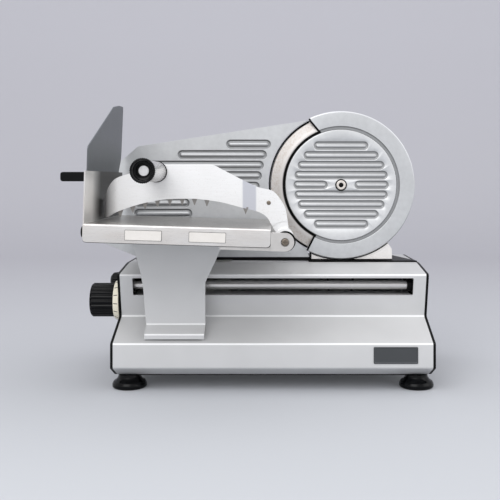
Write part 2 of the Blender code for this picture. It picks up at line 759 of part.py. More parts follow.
def make_base():
    """The folded shell, its end panels, bottom plate and feet."""
    outer = base_path()
    inner = offset_path(outer, SHEET)
    shell = add_piece("base_shell", prism(outer + inner[::-1], "X", -SHELL_HALF, SHELL_HALF), "painted_grey",
                      "base")
    slot_low = SLOT_Z - SLOT_HEIGHT / 2
    slot_high = SLOT_Z + SLOT_HEIGHT / 2
    slot = block((-SLOT_HALF, SLOT_HALF),
                 (lean_face_y(slot_high) - OVERRUN, lean_face_y(slot_low) + SHEET + OVERRUN),
                 (slot_low, slot_high))
    gland_hole = rod("Y", (GLAND_X, GLAND_Z), GLAND_STEM_RADIUS + GAP, BASE_DEPTH - SHEET - OVERRUN,
                     BASE_DEPTH + OVERRUN, TINY_STEPS)
    openings = [slot, belt_opening(DECK - SHEET - OVERRUN, DECK + OVERRUN), post_opening(), gland_hole]
    work(shell, merged(openings), "DIFFERENCE", "base")
    work(shell, stud_holes(), "DIFFERENCE", "base")
    section = outer[1:-1]
    left = add_piece("left_end_panel", prism(section, "X", -END_X, -END_X + END_PANEL), "black_paint", "base")
    holes = [rod("X", place, radius + GAP, -END_X - OVERRUN, -END_X + END_PANEL + OVERRUN, SMALL_STEPS)
             for place, radius in (((KNOB_Y, KNOB_Z), SPINDLE_RADIUS),
                                   ((SWITCH_Y, SWITCH_Z), SWITCH_STEM_RADIUS))]
    work(left, merged(holes), "DIFFERENCE", "base")
    add_piece("right_end_panel", prism(section, "X", END_X - END_PANEL, END_X), "black_paint", "base")
    plate_z = BASE_BOTTOM + SHEET + GAP
    plate = block((-SHELL_HALF, SHELL_HALF), (UNDERCUT_DEPTH + OVERRUN, BASE_DEPTH - SHEET - GAP),
                  (plate_z, plate_z + SHEET))
    bottom = add_piece("bottom_plate", plate, "zinc_plate", "base")
    work(bottom, stud_holes(), "DIFFERENCE", "base")
    for place_name, place in foot_places().items():
        make_foot(f"foot_{place_name}", place)


def make_foot(name, place):
    """A bell-shaped foot with its stud."""
    rim, neck = FOOT_RIM_RADIUS, FOOT_NECK_RADIUS
    shoulder = (rim + neck) / 2
    top = BASE_BOTTOM - GAP
    profile = [
        (0, 0), (rim - GAP * 8, 0), (rim, FOOT_RIM_HEIGHT * 0.25), (rim, FOOT_RIM_HEIGHT * 0.8),
        (shoulder, FOOT_RIM_HEIGHT * 1.25), (neck + GAP, FOOT_RIM_HEIGHT * 1.7), (neck, top),
        (FOOT_STUD_RADIUS, top), (FOOT_STUD_RADIUS, BASE_BOTTOM + FOOT_STUD_RISE),
        (0, BASE_BOTTOM + FOOT_STUD_RISE),
    ]
    add_piece(name, turned(profile, "Z", place, SMALL_STEPS), "black_plastic", "base", smooth=True)


def make_guide():
    """The rod in the front slot, its two brackets and its end nut."""
    add_piece("guide_rod", rod("X", (ROD_Y, SLOT_Z), ROD_RADIUS, -ROD_END, ROD_END, SMALL_STEPS), "steel",
              "base", smooth=True)
    low = SLOT_Z - ROD_BRACKET_HEIGHT / 2
    high = SLOT_Z + ROD_BRACKET_HEIGHT / 2
    seat = SHEET + 2 * GAP
    outline = [(lean_face_y(low) + seat, low), (ROD_Y + ROD_BRACKET_DEPTH / 2, low),
               (ROD_Y + ROD_BRACKET_DEPTH / 2, high), (lean_face_y(high) + seat, high)]
    for side_name, side in (("left", -1), ("right", 1)):
        ends = sorted((side * ROD_BRACKET_START, side * (ROD_BRACKET_START + ROD_BRACKET - GAP)))
        bracket = add_piece(f"rod_bracket_{side_name}", prism(outline, "X", *ends), "zinc_plate", "base")
        work(bracket, rod("X", (ROD_Y, SLOT_Z), ROD_RADIUS + GAP, -END_X, END_X, SMALL_STEPS), "DIFFERENCE",
             "base")
    nut_end = ROD_BRACKET_START - OVERRUN
    add_piece("rod_end_nut", bush("X", (ROD_Y, SLOT_Z), ROD_RADIUS + GAP, ROD_NUT_RADIUS,
                                  nut_end - ROD_NUT_LENGTH, nut_end, SMALL_STEPS), "steel", "base",
                                  smooth=True)


def make_bed():
    """The dark bed plate on the deck. It comes forward under the blade and narrows to the back."""
    low = DECK + GAP
    left_front = CREASE_Y + BED_LEFT_FRONT
    right_front = CREASE_Y + BED_RIGHT_FRONT
    back = BASE_DEPTH - BED_REAR_MARGIN
    outline = [(-BED_LEFT, left_front), (BED_STEP_X, left_front), (BED_STEP_X, right_front),
               (BED_RIGHT, right_front), (BED_REAR_RIGHT, back), (-BED_LEFT, back)]
    bed = add_piece("bed_plate", prism(outline, "Z", low, BED_Z), "black_paint", "base")
    work(bed, merged([belt_opening(DECK - SHEET, BED_Z + OVERRUN), post_opening()]), "DIFFERENCE", "base")


def make_base_trim():
    """The bare badge at the front and the cord gland at the back."""
    outline = rectangle(BADGE_X, BADGE_Z, BADGE_WIDTH, BADGE_HEIGHT, BADGE_CORNER)
    add_piece("badge_plate", prism(outline, "Y", -GAP - BADGE_THICKNESS, -GAP), "badge_dark", "base")
    wall = BASE_DEPTH + GAP
    profile = [
        (GLAND_BORE, wall - GLAND_STEM), (GLAND_STEM_RADIUS, wall - GLAND_STEM), (GLAND_STEM_RADIUS, wall),
        (GLAND_FLANGE_RADIUS, wall), (GLAND_FLANGE_RADIUS, wall + GLAND_FLANGE),
        (GLAND_RADIUS, wall + GLAND_FLANGE), (GLAND_STEM_RADIUS, wall + GLAND_LENGTH),
        (GLAND_BORE, wall + GLAND_LENGTH),
    ]
    add_piece("cord_gland", turned(profile, "Y", (GLAND_X, GLAND_Z), SMALL_STEPS), "black_plastic", "base",
              smooth=True)


# Blade, its bracket and its cover

BLADE_CENTRE = (BLADE_X, BLADE_Z)


def make_bracket():
    """The casting that carries the axle: a back plate, a stand on the bed and a foot under the ring."""
    bracket = add_piece("blade_bracket", rod("Y", BLADE_CENTRE, BACKPLATE_RADIUS, BACKPLATE_Y,
                                             BACKPLATE_Y + BACKPLATE_THICKNESS, FINE_STEPS), "bright_casting",
                                             "base")
    foot_z = BED_Z + GAP
    shoulder = (BRACKET_RIGHT, foot_z + BRACKET_SHOULDER_RISE)
    stand = [(BRACKET_LEFT, foot_z), (BRACKET_RIGHT, foot_z), shoulder]
    stand += arc(BLADE_CENTRE, STAND_TOP_RADIUS, 0, pi, EAR_STEPS)
    stand.append((BRACKET_LEFT, foot_z + BRACKET_HEIGHT))
    work(bracket, prism(stand, "Y", STAND_Y, STAND_BACK_Y), "UNION", "base")
    foot = [(BRACKET_LEFT, foot_z), (BRACKET_RIGHT, foot_z), shoulder,
            (BRACKET_RIGHT - BRACKET_HORN_INSET, foot_z + BRACKET_HORN_RISE),
            (BLADE_X, foot_z + BRACKET_HEIGHT), (BRACKET_LEFT, foot_z + BRACKET_HEIGHT)]
    foot_front = RING_FRONT + BRACKET_FRONT_DEPTH
    foot_piece = add_piece("foot_helper", prism(foot, "Y", foot_front, RING_FRONT + BRACKET_REAR_DEPTH),
                           "steel", "base")
    foot_piece.hide_render = True
    foot_piece.display_type = "WIRE"
    ring_seat = rod("Y", BLADE_CENTRE, RING_OUTER + 2 * GAP, foot_front - OVERRUN, STAND_Y, FINE_STEPS)
    work(foot_piece, ring_seat, "DIFFERENCE", "base")
    union = bracket.modifiers.new("foot", "BOOLEAN")
    union.operation = "UNION"
    union.object = foot_piece
    work(bracket, rod("Y", BLADE_CENTRE, AXLE_BOSS_RADIUS, STAND_BACK_Y - OVERRUN,
                      STAND_BACK_Y + AXLE_BOSS_HEIGHT, SMALL_STEPS), "UNION", "base")
    axle_hole = rod("Y", BLADE_CENTRE, AXLE_SHOULDER_RADIUS + GAP, BACKPLATE_Y - OVERRUN,
                    STAND_BACK_Y + AXLE_TAIL, SMALL_STEPS)
    work(bracket, merged([axle_hole, belt_opening(BED_Z - OVERRUN, BED_Z + BELT_OPENING_RISE)]), "DIFFERENCE",
         "base")


def make_ring_guard():
    """The ring round the blade, open at the left, where the food meets the edge."""
    inner = BLADE_BEVEL_INNER
    wall_inner = RING_OUTER - RING_WALL
    face_back = RING_FRONT + RING_FACE
    profile = [
        (inner, RING_FRONT), (RING_OUTER - RING_EDGE, RING_FRONT), (RING_OUTER, RING_FRONT + RING_EDGE),
        (RING_OUTER, RING_FRONT + RING_LENGTH), (wall_inner, RING_FRONT + RING_LENGTH),
        (wall_inner, face_back), (inner, face_back),
    ]
    ring = turned(profile, "Y", BLADE_CENTRE, FINE_STEPS * 2 // 3, RING_START, RING_END - RING_START)
    guard = add_piece("ring_guard", ring, "cast_aluminium", "base", smooth=True)
    work(guard, belt_opening(BED_Z, BED_Z + BELT_OPENING_RISE), "DIFFERENCE", "base")


def cover_ribs():
    """Cutters for the cover's ribs: rows above and below the middle, and two short ones beside the screw."""
    cutters = []
    reach = COVER_RADIUS - COVER_RIB_EDGE
    for row in range(-COVER_RIB_ROWS, COVER_RIB_ROWS + 1):
        rise = row * COVER_RIB_PITCH
        half = (reach ** 2 - rise ** 2) ** 0.5
        z = BLADE_Z + rise
        if row:
            cutters.append(groove(BLADE_X - half, BLADE_X + half, z, RING_FRONT))
        else:
            cutters.append(groove(BLADE_X - half, BLADE_X - COVER_RIB_CENTRE_GAP, z, RING_FRONT))
            cutters.append(groove(BLADE_X + COVER_RIB_CENTRE_GAP, BLADE_X + half, z, RING_FRONT))
    return merged(cutters)


def make_cover():
    """The ribbed cover in front of the blade, the screw that holds it, and the axle behind."""
    hole = COVER_SCREW_RADIUS + GAP
    boss_back = COVER_BACK_Y + COVER_BOSS_HEIGHT
    profile = [
        (hole, RING_FRONT), (COVER_RADIUS - COVER_EDGE, RING_FRONT), (COVER_RADIUS, RING_FRONT + COVER_EDGE),
        (COVER_RADIUS, COVER_BACK_Y), (COVER_BOSS_RADIUS, COVER_BACK_Y), (COVER_BOSS_RADIUS, boss_back),
        (hole, boss_back),
    ]
    cover = add_piece("blade_cover", turned(profile, "Y", BLADE_CENTRE, FINE_STEPS), "cast_aluminium", "base",
                      smooth=True)
    work(cover, cover_ribs(), "DIFFERENCE", "base")
    head_back = RING_FRONT - GAP
    head_front = head_back - COVER_SCREW_HEAD_HEIGHT
    socket = head_front + COVER_SOCKET_DEPTH
    screw = [
        (0, socket), (COVER_SOCKET_RADIUS, socket), (COVER_SOCKET_RADIUS, head_front),
        (COVER_SCREW_HEAD - COVER_EDGE, head_front), (COVER_SCREW_HEAD, head_front + COVER_EDGE),
        (COVER_SCREW_HEAD, head_back), (COVER_SCREW_RADIUS, head_back),
        (COVER_SCREW_RADIUS, head_back + COVER_SCREW_LENGTH), (0, head_back + COVER_SCREW_LENGTH),
    ]
    add_piece("cover_screw", turned(screw, "Y", BLADE_CENTRE, SMALL_STEPS), "steel", "base", smooth=True)
    axle_front = boss_back + GAP
    tap_end = head_back + COVER_SCREW_LENGTH + GAP
    axle_back = STAND_BACK_Y + AXLE_TAIL
    axle = [
        (0, tap_end), (hole, tap_end), (hole, axle_front), (AXLE_RADIUS, axle_front),
        (AXLE_RADIUS, BACKPLATE_Y - GAP), (AXLE_SHOULDER_RADIUS, BACKPLATE_Y - GAP),
        (AXLE_SHOULDER_RADIUS, axle_back), (0, axle_back),
    ]
    add_piece("blade_axle", turned(axle, "Y", BLADE_CENTRE, SMALL_STEPS), "steel", "base", smooth=True)
    nut_front = STAND_BACK_Y + AXLE_BOSS_HEIGHT + GAP
    nut = hex_nut(BLADE_CENTRE, AXLE_NUT_RADIUS, AXLE_SHOULDER_RADIUS + GAP, nut_front,
                  nut_front + AXLE_NUT_HEIGHT)
    add_piece("axle_nut", nut, "steel", "base")


def blade_rivet_places():
    """The centres of the rivets that hold the blade on its hub."""
    return arc(BLADE_CENTRE, BLADE_RIVET_CIRCLE, pi / 2, pi / 2 + FULL_TURN, BLADE_RIVET_COUNT)[:-1]


def make_blade():
    """The round blade, riveted to its hub and pulley, with their bearing."""
    step = BLADE_BEVEL_INNER - BLADE_STEP_WIDTH
    edge_y = RING_FRONT + BLADE_EDGE_DEPTH
    profile = [
        (BLADE_BORE, BLADE_FACE_Y), (step, BLADE_FACE_Y), (BLADE_BEVEL_INNER, BLADE_TOP_Y),
        (BLADE_RADIUS, edge_y), (BLADE_RADIUS, edge_y + BLADE_EDGE_WIDTH),
        (BLADE_RADIUS - BLADE_BACK_WIDTH, BLADE_BACK_Y), (BLADE_BORE, BLADE_BACK_Y),
    ]
    blade = add_piece("blade", turned(profile, "Y", BLADE_CENTRE, FINE_STEPS), "blade_steel", "blade_axis",
                      smooth=True)
    hub_profile = [
        (BEARING_RADIUS + GAP, HUB_FRONT_Y), (HUB_FLANGE_RADIUS, HUB_FRONT_Y),
        (HUB_FLANGE_RADIUS, BELT_Y - GAP), (BLADE_PULLEY_RADIUS, BELT_Y - GAP),
        (BLADE_PULLEY_RADIUS, BELT_Y + BELT_WIDTH + GAP),
        (BLADE_PULLEY_RADIUS + PULLEY_RIM, BELT_Y + BELT_WIDTH + GAP),
        (BLADE_PULLEY_RADIUS + PULLEY_RIM, HUB_BACK_Y), (BEARING_RADIUS + GAP, HUB_BACK_Y),
    ]
    hub = add_piece("blade_pulley", turned(hub_profile, "Y", BLADE_CENTRE, ROUND_STEPS), "cast_aluminium",
                    "blade_axis", smooth=True)
    head_back = BLADE_FACE_Y - GAP
    head_front = head_back - RIVET_HEAD_HEIGHT
    tip = HUB_FRONT_Y + GAP
    holes = [rod("Y", place, BLADE_RIVET_RADIUS + GAP, BLADE_FACE_Y - OVERRUN, HUB_FRONT_Y, TINY_STEPS)
             for place in blade_rivet_places()]
    work(blade, merged(holes), "DIFFERENCE", "blade_axis")
    rivets = []
    for place in blade_rivet_places():
        rivet = [(0, head_front), (BLADE_RIVET_HEAD, head_front), (BLADE_RIVET_HEAD, head_back),
                 (BLADE_RIVET_RADIUS, head_back), (BLADE_RIVET_RADIUS, tip), (0, tip)]
        rivets.append(turned(rivet, "Y", place, TINY_STEPS))
    work(hub, merged(rivets), "UNION", "blade_axis")
    add_piece("blade_bearing", bush("Y", BLADE_CENTRE, AXLE_RADIUS + GAP, BEARING_RADIUS, HUB_FRONT_Y,
                                    HUB_BACK_Y, SMALL_STEPS), "steel", "blade_axis", smooth=True)


# Motor and belt

MOTOR_CENTRE = (BLADE_X, MOTOR_Z)
MOTOR_FRONT_Y = BELT_Y + BELT_WIDTH + MOTOR_GAP
MOTOR_LENGTH = BASE_DEPTH - SHEET - MOTOR_REAR_GAP - MOTOR_FRONT_Y
CRADLE_LENGTH = MOTOR_LENGTH - 2 * CRADLE_MARGIN


def belt_line(offset):
    """The belt's closed line at a distance over the pulleys' grooves."""
    large = BLADE_PULLEY_RADIUS + offset
    small = MOTOR_PULLEY_RADIUS + offset
    lean = asin((large - small) / (BLADE_Z - MOTOR_Z))
    return (arc(BLADE_CENTRE, large, -lean, pi + lean, ROUND_STEPS // 2)
            + arc(MOTOR_CENTRE, small, pi + lean, FULL_TURN - lean, TINY_STEPS // 2))


def make_drive():
    """The motor in the base, its cradle, its shaft with the pulley, and the belt up to the blade."""
    back = MOTOR_FRONT_Y + MOTOR_LENGTH
    grip_end = MOTOR_FRONT_Y + MOTOR_SHAFT_GRIP + GAP
    hole = MOTOR_SHAFT_RADIUS + GAP
    profile = [
        (0, grip_end), (hole, grip_end), (hole, MOTOR_FRONT_Y), (MOTOR_RADIUS - MOTOR_EDGE, MOTOR_FRONT_Y),
        (MOTOR_RADIUS, MOTOR_FRONT_Y + MOTOR_EDGE), (MOTOR_RADIUS, back - MOTOR_EDGE),
        (MOTOR_RADIUS - MOTOR_EDGE, back), (0, back),
    ]
    add_piece("motor_body", turned(profile, "Y", MOTOR_CENTRE, ROUND_STEPS), "zinc_plate", "base",
              smooth=True)
    plate_top = BASE_BOTTOM + 2 * SHEET + 2 * GAP
    cradle_front = MOTOR_FRONT_Y + CRADLE_MARGIN
    cradle = add_piece("motor_cradle", block((BLADE_X - CRADLE_WIDTH / 2, BLADE_X + CRADLE_WIDTH / 2),
                                             (cradle_front, cradle_front + CRADLE_LENGTH),
                                             (plate_top, plate_top + CRADLE_RISE)), "zinc_plate", "base")
    work(cradle, rod("Y", MOTOR_CENTRE, MOTOR_RADIUS + GAP, cradle_front - OVERRUN,
                     cradle_front + CRADLE_LENGTH + OVERRUN, ROUND_STEPS), "DIFFERENCE", "base")
    lip_front = BELT_Y - GAP - PULLEY_LIP
    shaft_end = MOTOR_FRONT_Y + MOTOR_SHAFT_GRIP
    rim = MOTOR_PULLEY_RADIUS + MOTOR_PULLEY_RIM
    pulley = [
        (0, lip_front), (rim, lip_front), (rim, BELT_Y - GAP), (MOTOR_PULLEY_RADIUS, BELT_Y - GAP),
        (MOTOR_PULLEY_RADIUS, BELT_Y + BELT_WIDTH + GAP), (rim, BELT_Y + BELT_WIDTH + GAP),
        (rim, HUB_BACK_Y), (MOTOR_SHAFT_RADIUS, HUB_BACK_Y), (MOTOR_SHAFT_RADIUS, shaft_end), (0, shaft_end),
    ]
    add_piece("motor_pulley", turned(pulley, "Y", MOTOR_CENTRE, SMALL_STEPS), "steel", "motor_axis",
              smooth=True)
    belt = ring_prism(belt_line(GAP + BELT_THICKNESS), belt_line(GAP), "Y", BELT_Y, BELT_Y + BELT_WIDTH)
    add_piece("drive_belt", belt, "belt_rubber", "base", smooth=True)


# Gauge plate and what moves it

def gauge_point(shares):
    """A point of the gauge plate's outline from its shares."""
    return (GAUGE_LEFT + shares[0] * (GAUGE_RIGHT - GAUGE_LEFT), GAUGE_BOTTOM + shares[1] * GAUGE_HEIGHT)


def make_gauge_plate():
    """The ribbed plate beside the blade, with its round cut-out."""
    outline = [gauge_point(shares) for shares in gauge_outline_shares]
    outline += arc(BLADE_CENTRE, GAUGE_ARC_RADIUS, GAUGE_TOP_ANGLE, GAUGE_BOTTOM_ANGLE, GAUGE_ARC_STEPS)
    plate = add_piece("gauge_plate", prism(outline, "Y", GAUGE_FRONT_Y, GAUGE_BACK_Y), "cast_aluminium",
                      "gauge", smooth=True)
    cutters = []
    for rows, rise in ((gauge_upper_row_shares, GAUGE_UPPER_RISE),
                       (gauge_lower_row_shares, -GAUGE_LOWER_DROP)):
        for row, (start, end) in enumerate(rows):
            left = gauge_point((start, 0))[0]
            right = gauge_point((end, 0))[0]
            cutters.append(groove(left, right, BLADE_Z + rise - row * GAUGE_RIB_PITCH, GAUGE_FRONT_Y))
    work(plate, merged(cutters), "DIFFERENCE", "gauge")


def make_gauge_mechanism():
    """The slider with the post behind the plate and the nose at the cam, and the rail it runs on."""
    right = POST_LEFT + POST_WIDTH
    slider_back = POST_Y + POST_THICKNESS
    slider_top = SLIDER_Z + SLIDER_HEIGHT
    post_top = GAUGE_BOTTOM + POST_HEIGHT
    post_front = slider_back - POST_THICKNESS
    outline = [(SLIDER_FRONT_Y, SLIDER_Z), (slider_back, SLIDER_Z), (slider_back, post_top),
               (post_front, post_top), (post_front, slider_top), (SLIDER_FRONT_Y, slider_top)]
    slider = add_piece("gauge_slider", prism(outline, "X", POST_LEFT, right), "zinc_plate", "gauge")
    bar = block((CAM_LEFT, POST_LEFT + OVERRUN), (SLIDER_FRONT_Y, SLIDER_FRONT_Y + BAR_DEPTH),
                (SLIDER_Z, SLIDER_Z + BAR_HEIGHT))
    work(slider, bar, "UNION", "gauge")
    nose = block((CAM_LEFT, CAM_LEFT + CAM_WIDTH), (NOSE_Y, SLIDER_FRONT_Y + OVERRUN),
                 (KNOB_Z - NOSE_HALF, KNOB_Z + NOSE_HALF))
    work(slider, nose, "UNION", "gauge")
    rail_hole = rod("Y", (RAIL_X, RAIL_Z), RAIL_RADIUS + GAP, SLIDER_FRONT_Y - OVERRUN, slider_back + OVERRUN,
                    SMALL_STEPS)
    work(slider, rail_hole, "DIFFERENCE", "gauge")
    front = SLIDER_FRONT_Y - RAIL_FRONT_ROOM
    back = slider_back + GAUGE_TRAVEL + RAIL_REAR_ROOM
    foot = BASE_BOTTOM + 2 * SHEET + 2 * GAP
    top = RAIL_Z + RAIL_STAND_WIDTH / 2
    outline = [(front, foot), (back, foot), (back, top), (back - RAIL_STAND, top),
               (back - RAIL_STAND, foot + RAIL_STAND_FOOT), (front + RAIL_STAND, foot + RAIL_STAND_FOOT),
               (front + RAIL_STAND, top), (front, top)]
    half = RAIL_STAND_WIDTH / 2
    rail = add_piece("gauge_rail", prism(outline, "X", RAIL_X - half, RAIL_X + half), "zinc_plate", "base")
    work(rail, rod("Y", (RAIL_X, RAIL_Z), RAIL_RADIUS, front + OVERRUN, back - OVERRUN, SMALL_STEPS), "UNION",
         "base")


def cam_outline():
    """The snail: its radius grows with the turn, so that the nose moves in step with the knob."""
    sweep = CAM_LEAD + CAM_TURN + CAM_TAIL
    outline = []
    for step in range(CAM_STEPS + 1):
        angle = sweep * step / CAM_STEPS - CAM_LEAD
        radius = CAM_RADIUS + CAM_RATE * angle
        outline.append((KNOB_Y + radius * cos(angle), KNOB_Z - radius * sin(angle)))
    return outline


def make_knob():
    """The fluted knob and its dial outside, the spindle through the end panel, and the cam inside."""
    centre = (KNOB_Y, KNOB_Z)
    hole = SPINDLE_RADIUS + GAP
    dial_back = -END_X - GAP
    dial_front = dial_back - DIAL_WIDTH
    knob_back = dial_front - GAP
    knob_front = knob_back - KNOB_LENGTH
    spindle_end = knob_back - SPINDLE_GRIP
    dial = [(hole, dial_back), (DIAL_RADIUS, dial_back), (DIAL_FRONT_RADIUS, dial_front), (hole, dial_front)]
    add_piece("thickness_dial", turned(dial, "X", centre, ROUND_STEPS), "cream_plastic", "knob_axis",
              smooth=True)
    outline = []
    for step in range(2 * KNOB_FLUTES):
        angle = pi * step / KNOB_FLUTES
        radius = KNOB_RADIUS - KNOB_FLUTE * (step % 2)
        outline.append((KNOB_Y + radius * cos(angle), KNOB_Z + radius * sin(angle)))
    knob = add_piece("thickness_knob", prism(outline, "X", knob_front + KNOB_EDGE, knob_back),
                     "black_plastic", "knob_axis")
    face = turned([(0, knob_front), (KNOB_RADIUS - KNOB_EDGE * 1.5, knob_front),
                   (KNOB_RADIUS - KNOB_EDGE / 2, knob_front + KNOB_EDGE + GAP),
                   (0, knob_front + KNOB_EDGE + GAP)],
                  "X", centre, ROUND_STEPS)
    work(knob, face, "UNION", "knob_axis")
    work(knob, rod("X", centre, hole, spindle_end - GAP, knob_back + OVERRUN, SMALL_STEPS), "DIFFERENCE",
         "knob_axis")
    cam_right = CAM_LEFT + CAM_WIDTH
    add_piece("adjusting_spindle", rod("X", centre, SPINDLE_RADIUS, spindle_end, cam_right, SMALL_STEPS),
              "steel", "knob_axis", smooth=True)
    cam = add_piece("snail_cam", prism(cam_outline(), "X", CAM_LEFT, cam_right), "nylon", "knob_axis")
    work(cam, rod("X", centre, hole, CAM_LEFT - OVERRUN, cam_right + OVERRUN, SMALL_STEPS), "DIFFERENCE",
         "knob_axis")


def make_switch():
    """The rotary switch behind the dial."""
    centre = (SWITCH_Y, SWITCH_Z)
    back = -END_X - GAP
    front = back - SWITCH_LENGTH
    stem_end = -END_X + SWITCH_STEM
    profile = [
        (0, front), (SWITCH_TIP_RADIUS - SWITCH_EDGE, front), (SWITCH_TIP_RADIUS, front + SWITCH_EDGE),
        (SWITCH_RADIUS, back), (SWITCH_STEM_RADIUS, back), (SWITCH_STEM_RADIUS, stem_end), (0, stem_end),
    ]
    add_piece("switch_knob", turned(profile, "X", centre, SMALL_STEPS), "black_plastic", "switch_axis",
              smooth=True)
    body_left = -END_X + END_PANEL + GAP
    half = SWITCH_BODY_WIDTH / 2
    body = add_piece("switch_body", block((body_left, body_left + SWITCH_BODY),
                                          (SWITCH_Y - half, SWITCH_Y + half),
                                          (SWITCH_Z - SWITCH_BODY_HEIGHT / 2,
                                           SWITCH_Z + SWITCH_BODY_HEIGHT / 2)),
                     "black_plastic", "base")
    work(body, rod("X", centre, SWITCH_STEM_RADIUS + GAP, body_left - OVERRUN, stem_end + GAP, TINY_STEPS),
         "DIFFERENCE", "base")


# Carriage

EAR_CENTRE = (EAR_X, -EAR_DROP)


def ear_outline(left):
    """The ear's outline from its left end: straight above and below, round at the pivot."""
    return ([(left, EAR_CENTRE[1] + EAR_RADIUS), (left, EAR_CENTRE[1] - EAR_RADIUS)]
            + arc(EAR_CENTRE, EAR_RADIUS, -pi / 2, pi / 2, EAR_STEPS))


def make_tray():
    """The sheet tray with its front flange and end wall, and its two bare labels."""
    outline = [(0, -TRAY_SHEET), (TRAY_WIDTH, -TRAY_SHEET), (TRAY_WIDTH, 0), (TRAY_SHEET, 0),
               (TRAY_SHEET, END_WALL), (0, END_WALL)]
    tray = add_piece("tray", prism(outline, "Y", 0, TRAY_DEPTH), "stainless_sheet", "tray_tilt", local=True)
    low = -TRAY_FLANGE
    flange = [(TRAY_WIDTH, -TRAY_SHEET / 2), (0, -TRAY_SHEET / 2)]
    flange += arc((TRAY_CORNER, low + TRAY_CORNER), TRAY_CORNER, pi, 1.5 * pi, CORNER_STEPS)
    flange += arc((TRAY_WIDTH - TRAY_CORNER, low + TRAY_CORNER), TRAY_CORNER, 1.5 * pi, FULL_TURN,
                  CORNER_STEPS)
    work(tray, prism(flange, "Y", 0, TRAY_SHEET), "UNION", "tray_tilt", local=True)
    for side, left in zip(("left", "right"), LABEL_LEFT):
        outline = rectangle(left, -LABEL_DROP - LABEL_HEIGHT, LABEL_WIDTH, LABEL_HEIGHT)
        add_piece(f"label_{side}", prism(outline, "Y", -GAP - LABEL_THICKNESS, -GAP), "label_white",
                  "tray_tilt", local=True)


def make_tray_frame():
    """The casting under the tray: a plate, two bars that end in ears, and a block at the left."""
    top = -TRAY_SHEET - GAP
    right = TRAY_WIDTH - FRAME_MARGIN
    behind_flange = TRAY_SHEET + GAP
    frame = add_piece("tray_frame", block((FRAME_MARGIN, right), (behind_flange, FRAME_DEPTH),
                                          (top - FRAME_THICKNESS, top)), "bright_casting", "tray_tilt",
                                          local=True)
    bar_top = top - FRAME_THICKNESS / 2
    low = EAR_CENTRE[1] - EAR_RADIUS
    bars = [block((BAR_START, TRAY_WIDTH + 2 * GAP), (behind_flange, EAR_THICKNESS), (low, bar_top)),
            block((BAR_START, TRAY_WIDTH + 2 * GAP), (FRAME_DEPTH - EAR_THICKNESS, FRAME_DEPTH),
                  (low, bar_top)),
            block((FRAME_MARGIN, SIDE_BLOCK_WIDTH), (SIDE_BLOCK_START, SIDE_BLOCK_START + SIDE_BLOCK_DEPTH),
                  (top - SIDE_BLOCK_HEIGHT, bar_top))]
    for bar in bars:
        work(frame, bar, "UNION", "tray_tilt", local=True)
    ear_left = TRAY_WIDTH + GAP
    for front, back in ((0, EAR_THICKNESS), (FRAME_DEPTH - EAR_THICKNESS, FRAME_DEPTH)):
        work(frame, prism(ear_outline(ear_left), "Y", front, back), "UNION", "tray_tilt", local=True)
    seat = PIVOT_SCREW_HEIGHT - PIVOT_SCREW_PROUD + GAP
    bore = rod("Y", EAR_CENTRE, PIVOT_RADIUS + GAP, -OVERRUN, FRAME_DEPTH - EAR_THICKNESS / 2, SMALL_STEPS)
    work(frame, bore, "DIFFERENCE", "tray_tilt", local=True)
    counterbore = rod("Y", EAR_CENTRE, PIVOT_SCREW_HEAD + GAP, -OVERRUN, seat, SMALL_STEPS)
    work(frame, counterbore, "DIFFERENCE", "tray_tilt", local=True)
    rod_front = seat + GAP
    rod_back = FRAME_DEPTH - EAR_THICKNESS / 2 - GAP
    hole = PIVOT_SCREW_RADIUS + GAP
    tap_end = rod_front + PIVOT_SCREW_LENGTH + GAP
    pivot = [(0, tap_end), (hole, tap_end), (hole, rod_front), (PIVOT_RADIUS, rod_front),
             (PIVOT_RADIUS, rod_back), (0, rod_back)]
    add_piece("pivot_rod", turned(pivot, "Y", EAR_CENTRE, SMALL_STEPS), "steel", "tray_tilt", local=True,
              smooth=True)
    head_front = -PIVOT_SCREW_PROUD
    head_back = head_front + PIVOT_SCREW_HEIGHT
    screw = [(0, head_front), (PIVOT_SCREW_HEAD, head_front), (PIVOT_SCREW_HEAD, head_back),
             (PIVOT_SCREW_RADIUS, head_back), (PIVOT_SCREW_RADIUS, rod_front + PIVOT_SCREW_LENGTH),
             (0, rod_front + PIVOT_SCREW_LENGTH)]
    add_piece("pivot_screw", turned(screw, "Y", EAR_CENTRE, SMALL_STEPS), "steel", "tray_tilt", local=True,
              smooth=True)
    bolt_right = FRAME_MARGIN - GAP
    bolt_left = bolt_right - SIDE_BOLT_LENGTH
    bolt = [(0, bolt_left), (SIDE_BOLT_RADIUS - SIDE_BOLT_EDGE, bolt_left),
            (SIDE_BOLT_RADIUS, bolt_left + SIDE_BOLT_EDGE), (SIDE_BOLT_RADIUS, bolt_right), (0, bolt_right)]
    place = (SIDE_BOLT_BACK, -SIDE_BOLT_DROP - TRAY_SHEET)
    add_piece("side_bolt", turned(bolt, "X", place, SMALL_STEPS), "black_plastic", "tray_tilt", local=True,
              smooth=True)


def frame_bottom(x):
    """Height of the tray frame's underside at a place along the machine."""
    drop = (TRAY_SHEET + GAP + FRAME_THICKNESS) / cos(TRAY_TILT)
    return TRAY_Z - drop - (x - TRAY_LEFT) * sin(TRAY_TILT) / cos(TRAY_TILT)


def leg_point(shares):
    """A point of the leg's outline from its shares."""
    return (LEG_LEFT + shares[0] * LEG_WIDTH, LEG_FOLD_Z + shares[1] * LEG_SPAN)


